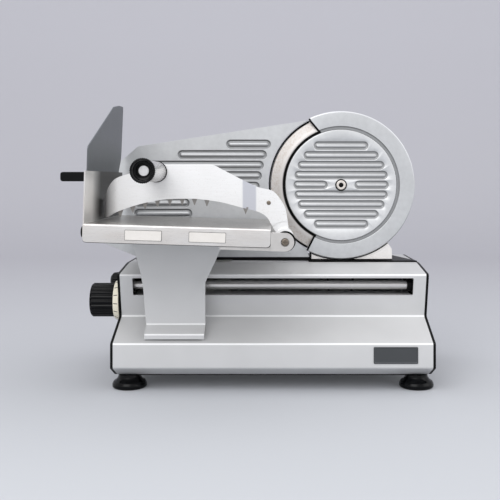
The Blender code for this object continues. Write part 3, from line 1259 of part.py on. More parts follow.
def make_leg():
    """The leg: a flared plate, a flange under the tray frame, a stepped foot, and the lug for the roller."""
    right = LEG_LEFT + LEG_WIDTH
    outline = [leg_point(shares) for shares in leg_left_shares]
    outline += [(LEG_LEFT, frame_bottom(LEG_LEFT) - GAP), (right, frame_bottom(right) - GAP)]
    outline += [leg_point(shares) for shares in leg_right_shares]
    leg = add_piece("carriage_leg", prism(outline, "Y", LEG_FRONT, LEG_FRONT + LEG_THICKNESS), "painted_grey",
                    "carriage")
    step = [(LEG_FRONT, LEG_FOLD_Z + LEG_THICKNESS), (LEG_FRONT, LEG_FOLD_Z),
            (LEG_FRONT - LEG_STEP, LEG_FOOT_Z), (LEG_FRONT - LEG_STEP, LEG_END_Z)]
    foot = step + offset_path(step, -LEG_THICKNESS)[::-1]
    work(leg, prism(foot, "X", outline[0][0], outline[-1][0]), "UNION", "carriage")
    edge = 2 * LEG_THICKNESS
    top = [(x, frame_bottom(x) - GAP) for x in (LEG_LEFT + edge, right - edge)]
    flange = top + [(x, z - LEG_FLANGE) for x, z in top[::-1]]
    work(leg, prism(flange, "Y", LEG_FRONT + GAP, LEG_FRONT + LEG_FLANGE_DEPTH), "UNION", "carriage")
    reach = (ROLLER_LENGTH / 2 + 2 * GAP, ROLLER_LENGTH / 2 + 2 * GAP + LUG_THICKNESS)
    lug = block((-LUG_HALF, LUG_HALF), (-LUG_REACH, LUG_BACK), reach)
    work(leg, lug, "UNION", "roller_axis", local=True)
    work(leg, rod("Z", (0, 0), ROLLER_PIN_RADIUS + GAP, reach[0] - OVERRUN, reach[1] + OVERRUN, TINY_STEPS),
         "DIFFERENCE", "roller_axis", local=True)
    half = ROLLER_LENGTH / 2
    hole = ROLLER_PIN_RADIUS + GAP
    add_piece("support_roller", bush("Z", (0, 0), hole, ROLLER_RADIUS, -half, half, SMALL_STEPS), "nylon",
              "roller_axis", local=True, smooth=True)
    head_top = -half - GAP
    pin = [(0, head_top - ROLLER_PIN_HEAD_HEIGHT), (ROLLER_PIN_HEAD, head_top - ROLLER_PIN_HEAD_HEIGHT),
           (ROLLER_PIN_HEAD, head_top), (ROLLER_PIN_RADIUS, head_top), (ROLLER_PIN_RADIUS, reach[1]),
           (0, reach[1])]
    add_piece("roller_pin", turned(pin, "Z", (0, 0), TINY_STEPS), "steel", "roller_axis", local=True,
              smooth=True)


def make_bearing():
    """The sleeve that slides on the rod, with the neck that comes out through the slot to the leg."""
    right = BEARING_BLOCK_LEFT + BEARING_BLOCK_LENGTH
    centre = (ROD_Y, SLOT_Z)
    bearing = add_piece("carriage_bearing", rod("X", centre, SLEEVE_RADIUS, BEARING_BLOCK_LEFT, right,
                                                SMALL_STEPS),
                        "cast_aluminium", "carriage", smooth=True)
    neck = block((BEARING_BLOCK_LEFT + NECK_INSET, right - NECK_INSET),
                 (LEG_FRONT + LEG_THICKNESS + GAP, ROD_Y - ROD_RADIUS),
                 (SLOT_Z - NECK_HALF - NECK_SHIFT, SLOT_Z + NECK_HALF - NECK_SHIFT))
    work(bearing, neck, "UNION", "carriage")
    work(bearing, rod("X", centre, ROD_RADIUS + GAP, BEARING_BLOCK_LEFT - OVERRUN, right + OVERRUN,
                      SMALL_STEPS),
         "DIFFERENCE", "carriage")


def make_guard():
    """The hand guard on the end wall, and the grip that pushes the carriage."""
    right = TRAY_LEFT - 2 * GAP
    left = right - GUARD_THICKNESS
    lean = sin(TRAY_TILT)
    outline = [(GUARD_FRONT + a * GUARD_DEPTH, GUARD_LOW + b * GUARD_HEIGHT) for a, b in guard_outline_shares]
    guard = prism(outline, "X", left, right)
    for vert in guard.verts:
        vert.co.x += (vert.co.z - TRAY_Z) * lean
    add_piece("hand_guard", guard, "guard_metal", "carriage")
    root = left + (GRIP_Z + GRIP_HEIGHT - TRAY_Z) * lean - 2 * GAP
    tip = root - GRIP_LENGTH
    outline = [(root - GRIP_TAPER / 2, GRIP_Z), (root, GRIP_Z + GRIP_HEIGHT),
               (tip + GRIP_ROUND, GRIP_Z + GRIP_HEIGHT), (tip, GRIP_Z + GRIP_HEIGHT - GRIP_ROUND),
               (tip, GRIP_Z + GRIP_TAPER + GRIP_ROUND / 2), (tip + GRIP_ROUND, GRIP_Z + GRIP_TAPER)]
    add_piece("push_grip", prism(outline, "Y", GRIP_Y, GRIP_Y + GRIP_WIDTH), "black_plastic", "carriage")


# Press arm

def arm_heights(share):
    """The arm's lower and upper edge at a share of its reach."""
    for (a, low_a, high_a), (b, low_b, high_b) in zip(arm_shares, arm_shares[1:]):
        if a <= share <= b:
            blend = (share - a) / (b - a)
            return (PIVOT_Z + (low_a + (low_b - low_a) * blend) * ARM_HEIGHT,
                    PIVOT_Z + (high_a + (high_b - high_a) * blend) * ARM_HEIGHT)
    return None


def arm_plan():
    """The arm's stations: place along the machine, depth of its front, lower edge, upper edge."""
    joggle_start, joggle_end = arm_joggle_shares
    curl = (1 - arm_curl_start_share) * ARM_REACH
    shares = [entry[0] for entry in arm_shares if entry[0] < arm_curl_start_share]
    shares += [arm_curl_start_share + (1 - arm_curl_start_share) * sin(pi / 2 * step / ARM_CURL_STEPS)
               for step in range(ARM_CURL_STEPS + 1)]
    plan = []
    for share in shares:
        if share <= joggle_start:
            depth = ARM_FRONT
        elif share <= arm_curl_start_share:
            depth = ARM_FRONT - ARM_JOGGLE * min(1, (share - joggle_start) / (joggle_end - joggle_start))
        else:
            turn = (share - arm_curl_start_share) / (1 - arm_curl_start_share)
            depth = ARM_LEFT_FRONT + curl * (1 - (1 - min(1, turn) ** 2) ** 0.5)
        plan.append((PIVOT_X - share * ARM_REACH, depth, *arm_heights(min(1, share))))
    last = plan[-1]
    plan.append((last[0], last[1] + ARM_TAIL, last[2], last[3]))
    return plan


def make_arm():
    """The press arm: a plate that is joggled near the pivot and curls back at its free end, with its boss."""
    plan = arm_plan()
    back = offset_path([(x, y) for x, y, low, high in plan], ARM_THICKNESS)
    shape = bmesh.new()
    rows = []
    for (x, y, low, high), (back_x, back_y) in zip(plan, back):
        rows.append([shape.verts.new(co) for co in ((x, y, low), (x, y, high), (back_x, back_y, high),
                                                    (back_x, back_y, low))])
    for first, second in zip(rows, rows[1:]):
        for here in range(4):
            there = (here + 1) % 4
            shape.faces.new((first[here], first[there], second[there], second[here]))
    shape.faces.new(rows[0])
    shape.faces.new(rows[-1])
    arm = add_piece("press_arm", shape, "satin_aluminium", "press_arm_axis", smooth=True)
    centre = (PIVOT_X, PIVOT_Z)
    boss_front = ARM_FRONT + (ARM_THICKNESS - ARM_BOSS_LENGTH) / 2
    work(arm, rod("Y", centre, ARM_BOSS_RADIUS, boss_front, boss_front + ARM_BOSS_LENGTH, SMALL_STEPS),
         "UNION", "press_arm_axis")
    sleeve_radius = PIVOT_RADIUS + GAP + SLEEVE_WALL
    bore = rod("Y", centre, sleeve_radius + GAP, boss_front - OVERRUN, boss_front + ARM_BOSS_LENGTH + OVERRUN,
               SMALL_STEPS)
    through = (ARM_LEFT_FRONT - OVERRUN, ARM_FRONT + ARM_THICKNESS + OVERRUN)
    holes = merged([bore, rod("Y", (HANDLE_X, HANDLE_Z), BOLT_RADIUS + GAP, *through, TINY_STEPS),
                    rod("Y", rivet_place(), RIVET_RADIUS + GAP, *through, TINY_STEPS)])
    work(arm, holes, "DIFFERENCE", "press_arm_axis")
    sleeve_front = ARM_FRONT + (ARM_THICKNESS - PRESS_SLEEVE_LENGTH) / 2
    add_piece("press_sleeve", bush("Y", centre, PIVOT_RADIUS + GAP, sleeve_radius, sleeve_front,
                                   sleeve_front + PRESS_SLEEVE_LENGTH, SMALL_STEPS), "nylon", "press_slider",
              smooth=True)


def rivet_place():
    """Where the rivet sits on the arm."""
    return (PIVOT_X - rivet_shares[0] * ARM_REACH, PIVOT_Z + rivet_shares[1] * ARM_HEIGHT)


def make_rivet():
    """The rivet near the pivot, with a head on each side of the plate."""
    front = ARM_FRONT - GAP
    back = ARM_FRONT + ARM_THICKNESS + GAP
    profile = [(0, front - RIVET_HEAD_HEIGHT), (RIVET_HEAD / 2, front - RIVET_HEAD_HEIGHT),
               (RIVET_HEAD, front), (RIVET_RADIUS, front), (RIVET_RADIUS, back), (RIVET_HEAD, back),
               (RIVET_HEAD / 2, back + RIVET_HEAD_HEIGHT), (0, back + RIVET_HEAD_HEIGHT)]
    add_piece("arm_rivet", turned(profile, "Y", rivet_place(), TINY_STEPS), "steel", "press_arm_axis",
              smooth=True)


def make_teeth():
    """The toothed strip behind the arm's lower edge."""
    half = TOOTH_WIDTH / 2 / ARM_REACH
    lower = []
    upper = []
    for tooth in range(TEETH_COUNT):
        share = teeth_start_share + tooth * teeth_pitch_share
        for offset, drop in ((-half, 0), (0, TOOTH_HEIGHT), (half, 0)):
            place = share + offset
            lower.append((PIVOT_X - place * ARM_REACH, arm_heights(place)[0] + GAP - drop))
        upper.append((PIVOT_X - share * ARM_REACH, arm_heights(share)[0] + TEETH_STRIP))
    front = ARM_LEFT_FRONT + ARM_THICKNESS + GAP
    add_piece("toothed_strip", prism(lower + upper[::-1], "Y", front, front + TEETH_SHEET), "satin_aluminium",
              "press_arm_axis")


def make_handle():
    """The handle: a steel tube on a washer, a cup-shaped cap, and the bolt through them with its nut."""
    centre = (HANDLE_X, HANDLE_Z)
    washer_back = ARM_LEFT_FRONT - GAP
    washer_front = washer_back - WASHER
    add_piece("handle_washer", bush("Y", centre, BOLT_RADIUS + GAP, WASHER_RADIUS, washer_front, washer_back,
                                    SMALL_STEPS), "black_plastic", "press_arm_axis", smooth=True)
    tube_back = washer_front - GAP
    flange_back = CAP_FRONT_Y + CAP_FLANGE
    tube_front = flange_back + GAP
    bore = HANDLE_RADIUS - HANDLE_WALL
    add_piece("handle_tube", bush("Y", centre, bore, HANDLE_RADIUS, tube_front, tube_back, ROUND_STEPS),
              "steel", "press_arm_axis", smooth=True)
    plug = bore - GAP
    plug_back = flange_back + CAP_PLUG_LENGTH
    web_front = plug_back - CAP_WEB
    hole = BOLT_RADIUS + GAP
    cap = [
        (CAP_MOUTH_RADIUS + CAP_EDGE / 2, CAP_FRONT_Y), (CAP_RADIUS, CAP_FRONT_Y + CAP_EDGE),
        (CAP_RADIUS, flange_back), (plug, flange_back), (plug, plug_back), (hole, plug_back),
        (hole, web_front), (CAP_SEAT_RADIUS, web_front), (CAP_MOUTH_RADIUS, CAP_FRONT_Y + CAP_EDGE / 2),
    ]
    cap_piece = turned(cap, "Y", centre, ROUND_STEPS)
    add_piece("handle_cap", cap_piece, "black_plastic", "press_arm_axis", smooth=True)
    head_back = web_front - GAP
    bolt_end = ARM_LEFT_FRONT + ARM_THICKNESS + BOLT_TAIL
    bolt = [(0, head_back - BOLT_HEAD_HEIGHT), (BOLT_HEAD, head_back - BOLT_HEAD_HEIGHT),
            (BOLT_HEAD, head_back), (BOLT_RADIUS, head_back), (BOLT_RADIUS, bolt_end), (0, bolt_end)]
    add_piece("handle_bolt", turned(bolt, "Y", centre, SMALL_STEPS), "blade_steel", "press_arm_axis",
              smooth=True)
    nut_front = ARM_LEFT_FRONT + ARM_THICKNESS + GAP
    nut = hex_nut(centre, BOLT_NUT_RADIUS, BOLT_RADIUS + GAP, nut_front, nut_front + BOLT_NUT_HEIGHT)
    add_piece("handle_nut", nut, "steel", "press_arm_axis")


# The whole machine

def footprint_centre():
    """The middle of the model's footprint, from the pieces that reach furthest."""
    left = GAUGE_LEFT
    right = FOOT_X + FOOT_RIM_RADIUS
    front = CAP_FRONT_Y
    back = BASE_DEPTH + GAP + GLAND_LENGTH
    return Vector(((left + right) / 2, (front + back) / 2, 0))


def add_groups():
    """The empties: each moving group hangs on the axis of its joint."""
    add_group("base", (0, 0, 0))
    add_group("blade_axis", (BLADE_X, BELT_Y, BLADE_Z), parent="base")
    add_group("motor_axis", (BLADE_X, BELT_Y, MOTOR_Z), parent="base")
    add_group("gauge", (RAIL_X, SLIDER_FRONT_Y, RAIL_Z), parent="base")
    add_group("knob_axis", (-END_X, KNOB_Y, KNOB_Z), parent="base")
    add_group("switch_axis", (-END_X, SWITCH_Y, SWITCH_Z), parent="base")
    add_group("carriage", (BEARING_BLOCK_LEFT, ROD_Y, SLOT_Z), parent="base")
    add_group("tray_tilt", (TRAY_LEFT, TRAY_FRONT, TRAY_Z), Matrix.Rotation(TRAY_TILT, 4, "Y"), "carriage")
    face_length = hypot(LEAN_DEPTH, LEAN_HEIGHT)
    lean = asin(LEAN_DEPTH / face_length)
    stand_off = ROLLER_RADIUS + GAP
    place = (ROLLER_X, lean_face_y(ROLLER_Z) - stand_off * cos(lean), ROLLER_Z - stand_off * sin(lean))
    add_group("roller_axis", place, Matrix.Rotation(lean, 4, "X"), "carriage")
    add_group("press_slider", (PIVOT_X, ARM_FRONT, PIVOT_Z), parent="carriage")
    add_group("press_arm_axis", (PIVOT_X, ARM_FRONT, PIVOT_Z), parent="press_slider")


def build():
    """Make every piece, then set the origin in the middle of the footprint."""
    clear_scene()
    add_groups()
    make_base()
    make_guide()
    make_bed()
    make_base_trim()
    make_bracket()
    make_ring_guard()
    make_cover()
    make_blade()
    make_drive()
    make_gauge_plate()
    make_gauge_mechanism()
    make_knob()
    make_switch()
    make_tray()
    make_tray_frame()
    make_leg()
    make_bearing()
    make_guard()
    make_arm()
    make_rivet()
    make_teeth()
    make_handle()
    groups["base"][0].location = -footprint_centre()


build()
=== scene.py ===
# %% [markdown]
# This scene dresses a packed model of a domestic food slicer: a painted base, a round blade in a ring, a
# ribbed gauge plate and a food carriage with a toothed press arm. The model gives the sizes, the places and
# what moves. Each piece made here takes its place from that model, so nothing has to be fitted by eye.

# %% Load the model
from math import atan2, cos, pi, radians, sin, sqrt, tan

import bmesh
import bpy
from mathutils import Matrix, Vector


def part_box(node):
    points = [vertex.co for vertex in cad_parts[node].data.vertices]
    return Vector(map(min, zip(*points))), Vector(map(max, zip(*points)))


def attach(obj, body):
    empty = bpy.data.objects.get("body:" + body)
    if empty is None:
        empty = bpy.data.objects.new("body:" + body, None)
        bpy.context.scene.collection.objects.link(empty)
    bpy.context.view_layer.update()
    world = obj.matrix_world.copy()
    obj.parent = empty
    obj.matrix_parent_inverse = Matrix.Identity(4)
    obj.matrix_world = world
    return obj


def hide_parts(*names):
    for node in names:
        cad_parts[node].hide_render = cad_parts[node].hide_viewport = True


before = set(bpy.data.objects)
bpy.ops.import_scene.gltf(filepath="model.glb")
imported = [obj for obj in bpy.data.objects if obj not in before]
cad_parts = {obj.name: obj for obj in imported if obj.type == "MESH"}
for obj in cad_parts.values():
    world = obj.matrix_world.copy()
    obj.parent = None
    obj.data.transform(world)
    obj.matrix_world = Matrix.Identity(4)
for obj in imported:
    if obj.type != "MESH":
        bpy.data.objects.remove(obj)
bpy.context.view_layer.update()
MM = 0.001
print("pieces in the model:", len(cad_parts))

# %% [markdown]
# The photograph was taken from in front, a little above the tray, with the camera held level. A tilted
# camera would make the uprights lean together. A level one keeps them upright, and its lens is shifted
# instead, as a studio camera's is. The bench frame used here has X along the base from its middle, Y back
# from its front face, and Z up.

# %% Camera
bench_x = (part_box("left_end_panel")[0].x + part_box("right_end_panel")[1].x) / 2
bench_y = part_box("base_shell")[0].y
CAMERA_DISTANCE = 994 * MM
CAMERA_HEIGHT = 266 * MM
PHOTO_SIDE = 500
FOCAL_PIXELS = 800
SENSOR = 36
CENTRE_COLUMN = 273
HORIZON_ROW = 180

camera_data = bpy.data.cameras.new("camera")
camera_data.sensor_width = SENSOR
camera_data.lens = FOCAL_PIXELS * SENSOR / PHOTO_SIDE
camera_data.shift_x = 0.5 - CENTRE_COLUMN / PHOTO_SIDE
camera_data.shift_y = HORIZON_ROW / PHOTO_SIDE - 0.5
camera_data.clip_start = CAMERA_DISTANCE / 20
camera = bpy.data.objects.new("camera", camera_data)
camera.location = (bench_x, bench_y - CAMERA_DISTANCE, CAMERA_HEIGHT)
camera.rotation_euler = (radians(90), 0, 0)
scene = bpy.context.scene
scene.collection.objects.link(camera)
scene.camera = camera
scene.view_settings.view_transform = "Standard"
print("camera at", [round(value, 3) for value in camera.location])

# %% [markdown]
# Lengths in this lesson are written in millimetres of the bench frame, as on a workshop drawing. One matrix
# at the end turns them into the model's metres. The helpers read a piece's box from the model in those
# millimetres.

# %% Millimetres on the bench
BENCH = Matrix.Translation((bench_x, bench_y, 0)) @ Matrix.Scale(MM, 4)


def spans(node):
    """A model node's lowest and highest corners, in bench millimetres."""
    return [BENCH.inverted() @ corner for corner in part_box(node)]


def middle(node):
    """The middle of a node's box, in bench millimetres."""
    low, high = spans(node)
    return (low + high) / 2


blade_centre = middle("blade")
print("blade centre:", [round(value, 1) for value in blade_centre])

# %% [markdown]
# A sheet metal part is a flat shape pulled through space, and its bends are never sharp. So most pieces
# start as a flat outline whose corners are rounded, and are then extruded along one axis. True arcs would
# also do. The corners here are quadratic curves, because those leave each edge at the tangent and need no
# centre to be worked out.

# %% Outlines
AXES = {"X": (1, 2, 0), "Y": (0, 2, 1), "Z": (0, 1, 2)}
EDGE_SHARE, LEAST_REACH, MITRE_LIMIT = 0.45, 1e-3, 0.5


def place(axis, first, second, depth):
    """A point of a flat drawing, put in space at a depth along the axis."""
    spot = Vector((0, 0, 0))
    for slot, value in zip(AXES[axis], (first, second, depth)):
        spot[slot] = value
    return spot


def rounded(points, radius, steps=5, closed=False):
    """A line of points with its corners rounded. The radius is one number, or one for each point."""
    points = [Vector(point) for point in points]
    radii = radius if isinstance(radius, (list, tuple)) else [radius] * len(points)
    line = []
    for here, corner in enumerate(points):
        if not closed and here in (0, len(points) - 1):
            line.append(corner)
            continue
        back = points[here - 1] - corner
        ahead = points[(here + 1) % len(points)] - corner
        turn = pi - back.angle(ahead)
        reach = min(radii[here] * tan(turn / 2), EDGE_SHARE * back.length, EDGE_SHARE * ahead.length)
        if reach < LEAST_REACH:
            line.append(corner)
            continue
        start, end = corner + back.normalized() * reach, corner + ahead.normalized() * reach
        for step in range(steps + 1):
            share = step / steps
            line.append(start * (1 - share) ** 2 + corner * 2 * share * (1 - share) + end * share ** 2)
    return line


def sheet(path, thickness):
    """The section of a bent sheet: the path, and back along its right-hand side."""
    back = []
    for here, corner in enumerate(path):
        ends = [(a, b) for a, b in ((here - 1, here), (here, here + 1)) if a >= 0 and b < len(path)]
        sides = [path[b] - path[a] for a, b in ends]
        normals = [Vector((side.y, -side.x)).normalized() for side in sides]
        lean = (normals[0] + normals[-1]).normalized()
        back.append(corner + lean * thickness / max(MITRE_LIMIT, lean.dot(normals[0])))
    return list(path) + back[::-1]


def box_line(left, low, right, high):
    """A rectangle's corners."""
    return [(left, low), (right, low), (right, high), (left, high)]


def ring_line(centre, radius, start=0, end=360, steps=48):
    """Points on an arc. A whole turn leaves out its last point."""
    count = steps if end - start == 360 else steps + 1
    angles = [radians(start + (end - start) * step / steps) for step in range(count)]
    return [Vector((centre[0] + radius * cos(angle), centre[1] + radius * sin(angle))) for angle in angles]


print("a rounded square has", len(rounded(box_line(0, 0, 10, 10), 2, closed=True)), "points")

# %% [markdown]
# Three ways of making a body cover the whole machine: a loft joins a row of like outlines, an extrusion is
# a loft between two copies of one outline, and a lathe turns an outline about a line. A block and a round
# drill are their two plainest uses.

# %% Bodies from outlines
WELD = 1e-4


def loft(loops):
    """A skin over a row of loops with as many points each, closed at both ends."""
    mesh = bmesh.new()
    rows = [[mesh.verts.new(spot) for spot in loop] for loop in loops]
    for one, two in zip(rows, rows[1:]):
        for here in range(len(one)):
            there = (here + 1) % len(one)
            mesh.faces.new((one[here], one[there], two[there], two[here]))
    mesh.faces.new(rows[0])
    mesh.faces.new(rows[-1])
    return mesh


def extrude(outline, axis, low, high):
    """A body between two copies of an outline."""
    return loft([[place(axis, spot[0], spot[1], depth) for spot in outline] for depth in (low, high)])


def block(corners, axis, low, high):
    """An extruded rectangle, from its left, low, right and high."""
    return extrude(box_line(*corners), axis, low, high)


def lathe(profile, axis, centre, steps=72, start=0, sweep=360, flute=None):
    """Turns a closed profile of (radius, depth) points about an axis. A flute may change the radii."""
    count = steps if sweep == 360 else steps + 1
    mesh = bmesh.new()
    rows = []
    for step in range(count):
        angle = radians(start + sweep * step / steps)
        row = []
        for radius, depth in profile:
            reach = flute(radius, angle) if flute else radius
            first, second = centre[0] + reach * cos(angle), centre[1] + reach * sin(angle)
            row.append(mesh.verts.new(place(axis, first, second, depth)))
        rows.append(row)
    for step in range(steps):
        one, two = rows[step], rows[(step + 1) % count]
        for here in range(len(profile)):
            there = (here + 1) % len(profile)
            if profile[here][0] or profile[there][0]:
                mesh.faces.new((one[here], one[there], two[there], two[here]))
    if sweep != 360:
        mesh.faces.new(rows[0])
        mesh.faces.new(rows[-1])
    bmesh.ops.remove_doubles(mesh, verts=mesh.verts[:], dist=WELD)
    return mesh


def drill(radius, axis, centre, low, high, steps=40):
    """A plain round tool for a hole."""
    return lathe(box_line(0, low, radius, high), axis, centre, steps)


sample = block((0, 0, 10, 10), "Z", 0, 5)
print("a plain block has", len(sample.faces), "faces")
sample.free()

# %% [markdown]
# Holes are cut and castings are joined with Booleans. Left as modifiers they would keep their tools in the
# scene, so they are worked out at once and only the finished mesh stays. Tools that lie apart are first
# joined into one mesh, which saves a Boolean for each.

# %% Joining and cutting
def joined(*meshes):
    """Several meshes as one."""
    whole = bmesh.new()
    for mesh in meshes:
        data = bpy.data.meshes.new("loose")
        mesh.to_mesh(data)
        mesh.free()
        whole.from_mesh(data)
        bpy.data.meshes.remove(data)
    return whole


def carved(mesh, *tools, operation="DIFFERENCE"):
    """Cuts, or joins, one mesh with others and returns what is left."""
    made = []
    for shape in (mesh, *tools):
        bmesh.ops.recalc_face_normals(shape, faces=shape.faces[:])
        data = bpy.data.meshes.new("blank")
        shape.to_mesh(data)
        shape.free()
        made.append(bpy.data.objects.new("blank", data))
        scene.collection.objects.link(made[-1])
    for tool in made[1:]:
        step = made[0].modifiers.new("cut", "BOOLEAN")
        step.operation = operation
        step.solver = "EXACT"
        step.object = tool
    worked = made[0].evaluated_get(bpy.context.evaluated_depsgraph_get())
    result = bmesh.new()
    result.from_mesh(bpy.data.meshes.new_from_object(worked))
    for thing in made:
        data = thing.data
        bpy.data.objects.remove(thing)
        bpy.data.meshes.remove(data)
    return result


sample = carved(block((0, 0, 10, 10), "Z", 0, 5), drill(2, "Z", (5, 5), -1, 6))
print("the same block with a hole has", len(sample.faces), "faces")
sample.free()

# %% [markdown]
# The last helper turns a body into a piece of the scene. It scales the millimetres and, when a bevel is asked
# for, rounds the edges with a small bevel that catches the light as a real edge does and keeps the flat faces
# flat with weighted normals. Otherwise it marks edges sharp by their angle. It then hangs the piece on an
# empty for the body of the model it rides on, and hides the node it stands for.

# %% Pieces
finishes = {}
made_pieces = []


def piece(name, mesh, body, finish, replaces=(), bevel=0.0, sharp=35, steps=2, within=None):
    """Puts a body in the scene as a named piece with a finish."""
    bmesh.ops.recalc_face_normals(mesh, faces=mesh.faces[:])
    mesh.transform(BENCH @ (within or Matrix.Identity(4)))
    data = bpy.data.meshes.new(name)
    mesh.to_mesh(data)
    mesh.free()
    data.materials.append(finishes[finish])
    data.polygons.foreach_set("use_smooth", [True] * len(data.polygons))
    thing = bpy.data.objects.new(name, data)
    scene.collection.objects.link(thing)
    if bevel:
        edge = thing.modifiers.new("edges", "BEVEL")
        edge.width = bevel * MM
        edge.segments = steps
        edge.limit_method = "ANGLE"
        edge.angle_limit = radians(sharp)
        thing.modifiers.new("flats", "WEIGHTED_NORMAL")
    else:
        data.set_sharp_from_angle(angle=radians(sharp))
    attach(thing, body)
    if replaces:
        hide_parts(replaces)
    made_pieces.append(name)
    return thing


print("pieces so far:", len(made_pieces))

# %% [markdown]
# A material is a small calculation that runs at each point of a surface. Blender draws it as boxes and
# lines, which are hard to read once there are twenty of them. The class below wraps one socket, so that a
# sum such as grain * 0.2 + 0.4 adds its own Math nodes. Every other node comes from its one method, which
# sets the node up and plugs its sockets in.

# %% Shader sums
class Wire:
    """One output socket of a shader node."""

    def __init__(self, tree, socket=None):
        self.tree, self.socket = tree, socket

    def node(self, kind, settings=None, sockets=None, output=0):
        """Adds a node and returns one of its outputs."""
        made = self.tree.nodes.new("ShaderNode" + kind)
        for name, value in (settings or {}).items():
            setattr(made, name, value)
        for name, value in (sockets or {}).items():
            if isinstance(value, Wire):
                self.tree.links.new(value.socket, made.inputs[name])
            else:
                made.inputs[name].default_value = value
        return Wire(self.tree, made.outputs[output])

    def maths(self, operation, *values):
        """Adds a Math node."""
        return self.node("Math", {"operation": operation}, dict(enumerate(values)))

    def __add__(self, other):
        return self.maths("ADD", self, other)

    __radd__ = __add__

    def __sub__(self, other):
        return self.maths("SUBTRACT", self, other)

    def __rsub__(self, other):
        return self.maths("SUBTRACT", other, self)

    def __mul__(self, other):
        return self.maths("MULTIPLY", self, other)

    __rmul__ = __mul__

    def mix(self, low, high):
        """A colour between two others, by this value."""
        return self.node("Mix", {"data_type": "RGBA"}, {0: self, 6: low, 7: high}, 2)

    def between(self, start, end, low=0.0, high=1.0):
        """This value, mapped from one range to another and held at its ends."""
        return self.node("MapRange", {}, {"Value": self, "From Min": start, "From Max": end, "To Min": low,
                                          "To Max": high})


print("a wire's own methods:", [name for name in vars(Wire) if "__" not in name])

# %% [markdown]
# A finish is a Principled shader with a few wires on it. What is the same everywhere is set on the shader
# itself. The noise helper makes the unevenness that all real surfaces have: large soft clouds for handling
# and wear, small grain for the paint or the casting skin, and grain stretched along one axis for rolled or
# brushed metal. The facing helper tells up from down and front from side, so that a painted highlight can go
# on top and painted shade below.

# %% Finish helpers
SOCKET_NAMES = {"specular_ior_level": "Specular IOR Level"}
PALEST = 0.95


def grey(value, warm=0.0):
    """A linear grey, warmer or cooler by a share."""
    return (value * (1 + warm), value, value * (1 - warm), 1)


def start_finish(name, **fixed):
    """A new material with fixed values on its shader. Returns its object coordinates and its shader."""
    material = bpy.data.materials.new(name)
    material.use_nodes = True
    shader = material.node_tree.nodes["Principled BSDF"]
    for socket, value in fixed.items():
        shader.inputs[SOCKET_NAMES.get(socket, socket.replace("_", " ").title())].default_value = value
    finishes[name] = material
    return Wire(material.node_tree).node("TexCoord", output="Object"), shader


def plug(shader, socket, wire):
    """Links a wire to a socket of the shader."""
    wire.tree.links.new(wire.socket, shader.inputs[socket])


def noise(spot, size, stretch=(1, 1, 1), detail=2.0):
    """Cloudy noise from 0 to 1, with lumps of about a size in millimetres."""
    scaled = spot.node("VectorMath", {"operation": "MULTIPLY"}, {0: spot, 1: stretch})
    return spot.node("TexNoise", {}, {"Vector": scaled, "Scale": 1 / (size * MM), "Detail": detail})


def spread(wire, low, high):
    """Noise sharpened to run from a low value to a high one."""
    return wire.between(0.3, 0.7, low, high)


def bumped(height, depth, shader):
    """Raises a surface by a depth in millimetres where the height is 1."""
    bump = height.node("Bump", {}, {"Height": height, "Distance": depth * MM, "Strength": 1.0})
    plug(shader, "Normal", bump)


def coordinate(wire, axis):
    """One coordinate of a place or of a direction."""
    return wire.node("SeparateXYZ", {}, {0: wire}, "XYZ".index(axis))


def facing(spot, axis, start, end):
    """1 where a surface looks along an axis by more than the end value, and 0 below the start value."""
    return coordinate(spot.node("NewGeometry", output="Normal"), axis).between(start, end)


def level(axis, value):
    """A bench height or depth in millimetres as a world coordinate."""
    slot = "XYZ".index(axis)
    return (BENCH @ Vector([value if here == slot else 0 for here in range(3)]))[slot]


print("a warm grey:", grey(0.5, 0.02))

# %% [markdown]
# The base is folded sheet under a silver grey paint. The paint is nearly smooth, with a fine orange peel that
# only shows in reflections, and slightly uneven in tone. The folds get a painted highlight: paler paint that
# a mask finds by their slope. A thin clear coat gives its soft shine. The black paint of the end panels is
# the same job with a dark film.

# %% Paints
def paint(name, tone, warm, roughness, peel, metallic=0.0, shine=0.5):
    """Sprayed paint with orange peel, and a painted highlight on its folds."""
    spot, shader = start_finish(name, metallic=metallic, coat_roughness=0.3, specular_ior_level=shine)
    clouds, grain = noise(spot, 60), noise(spot, 0.9)
    share = spread(clouds * 0.7 + grain * 0.3, 0.0, 1.0)
    film = share.mix(grey(tone * 0.95, warm), grey(tone * 1.04, warm))
    # painted highlight: slopes between flat and upright are painted paler
    highlight_mask = facing(spot, "Z", 0.1, 0.3) * (1 - facing(spot, "Z", 0.7, 0.85))
    plug(shader, "Base Color", highlight_mask.mix(film, grey(min(tone * 1.6, PALEST), warm)))
    plug(shader, "Roughness", spread(grain, roughness - 0.04, roughness + 0.05))
    plug(shader, "Coat Weight", spread(clouds, shine * 0.24, shine * 0.44))
    bumped(noise(spot, 1.6), peel, shader)


paint("painted_grey", 0.63, -0.004, 0.42, 0.012, 0.1)
paint("black_paint", 0.004, -0.05, 0.42, 0.015, shine=0.1)
paint("badge_dark", 0.075, -0.06, 0.36, 0.006, 0.3, shine=0.25)
print("paints:", sorted(finishes))
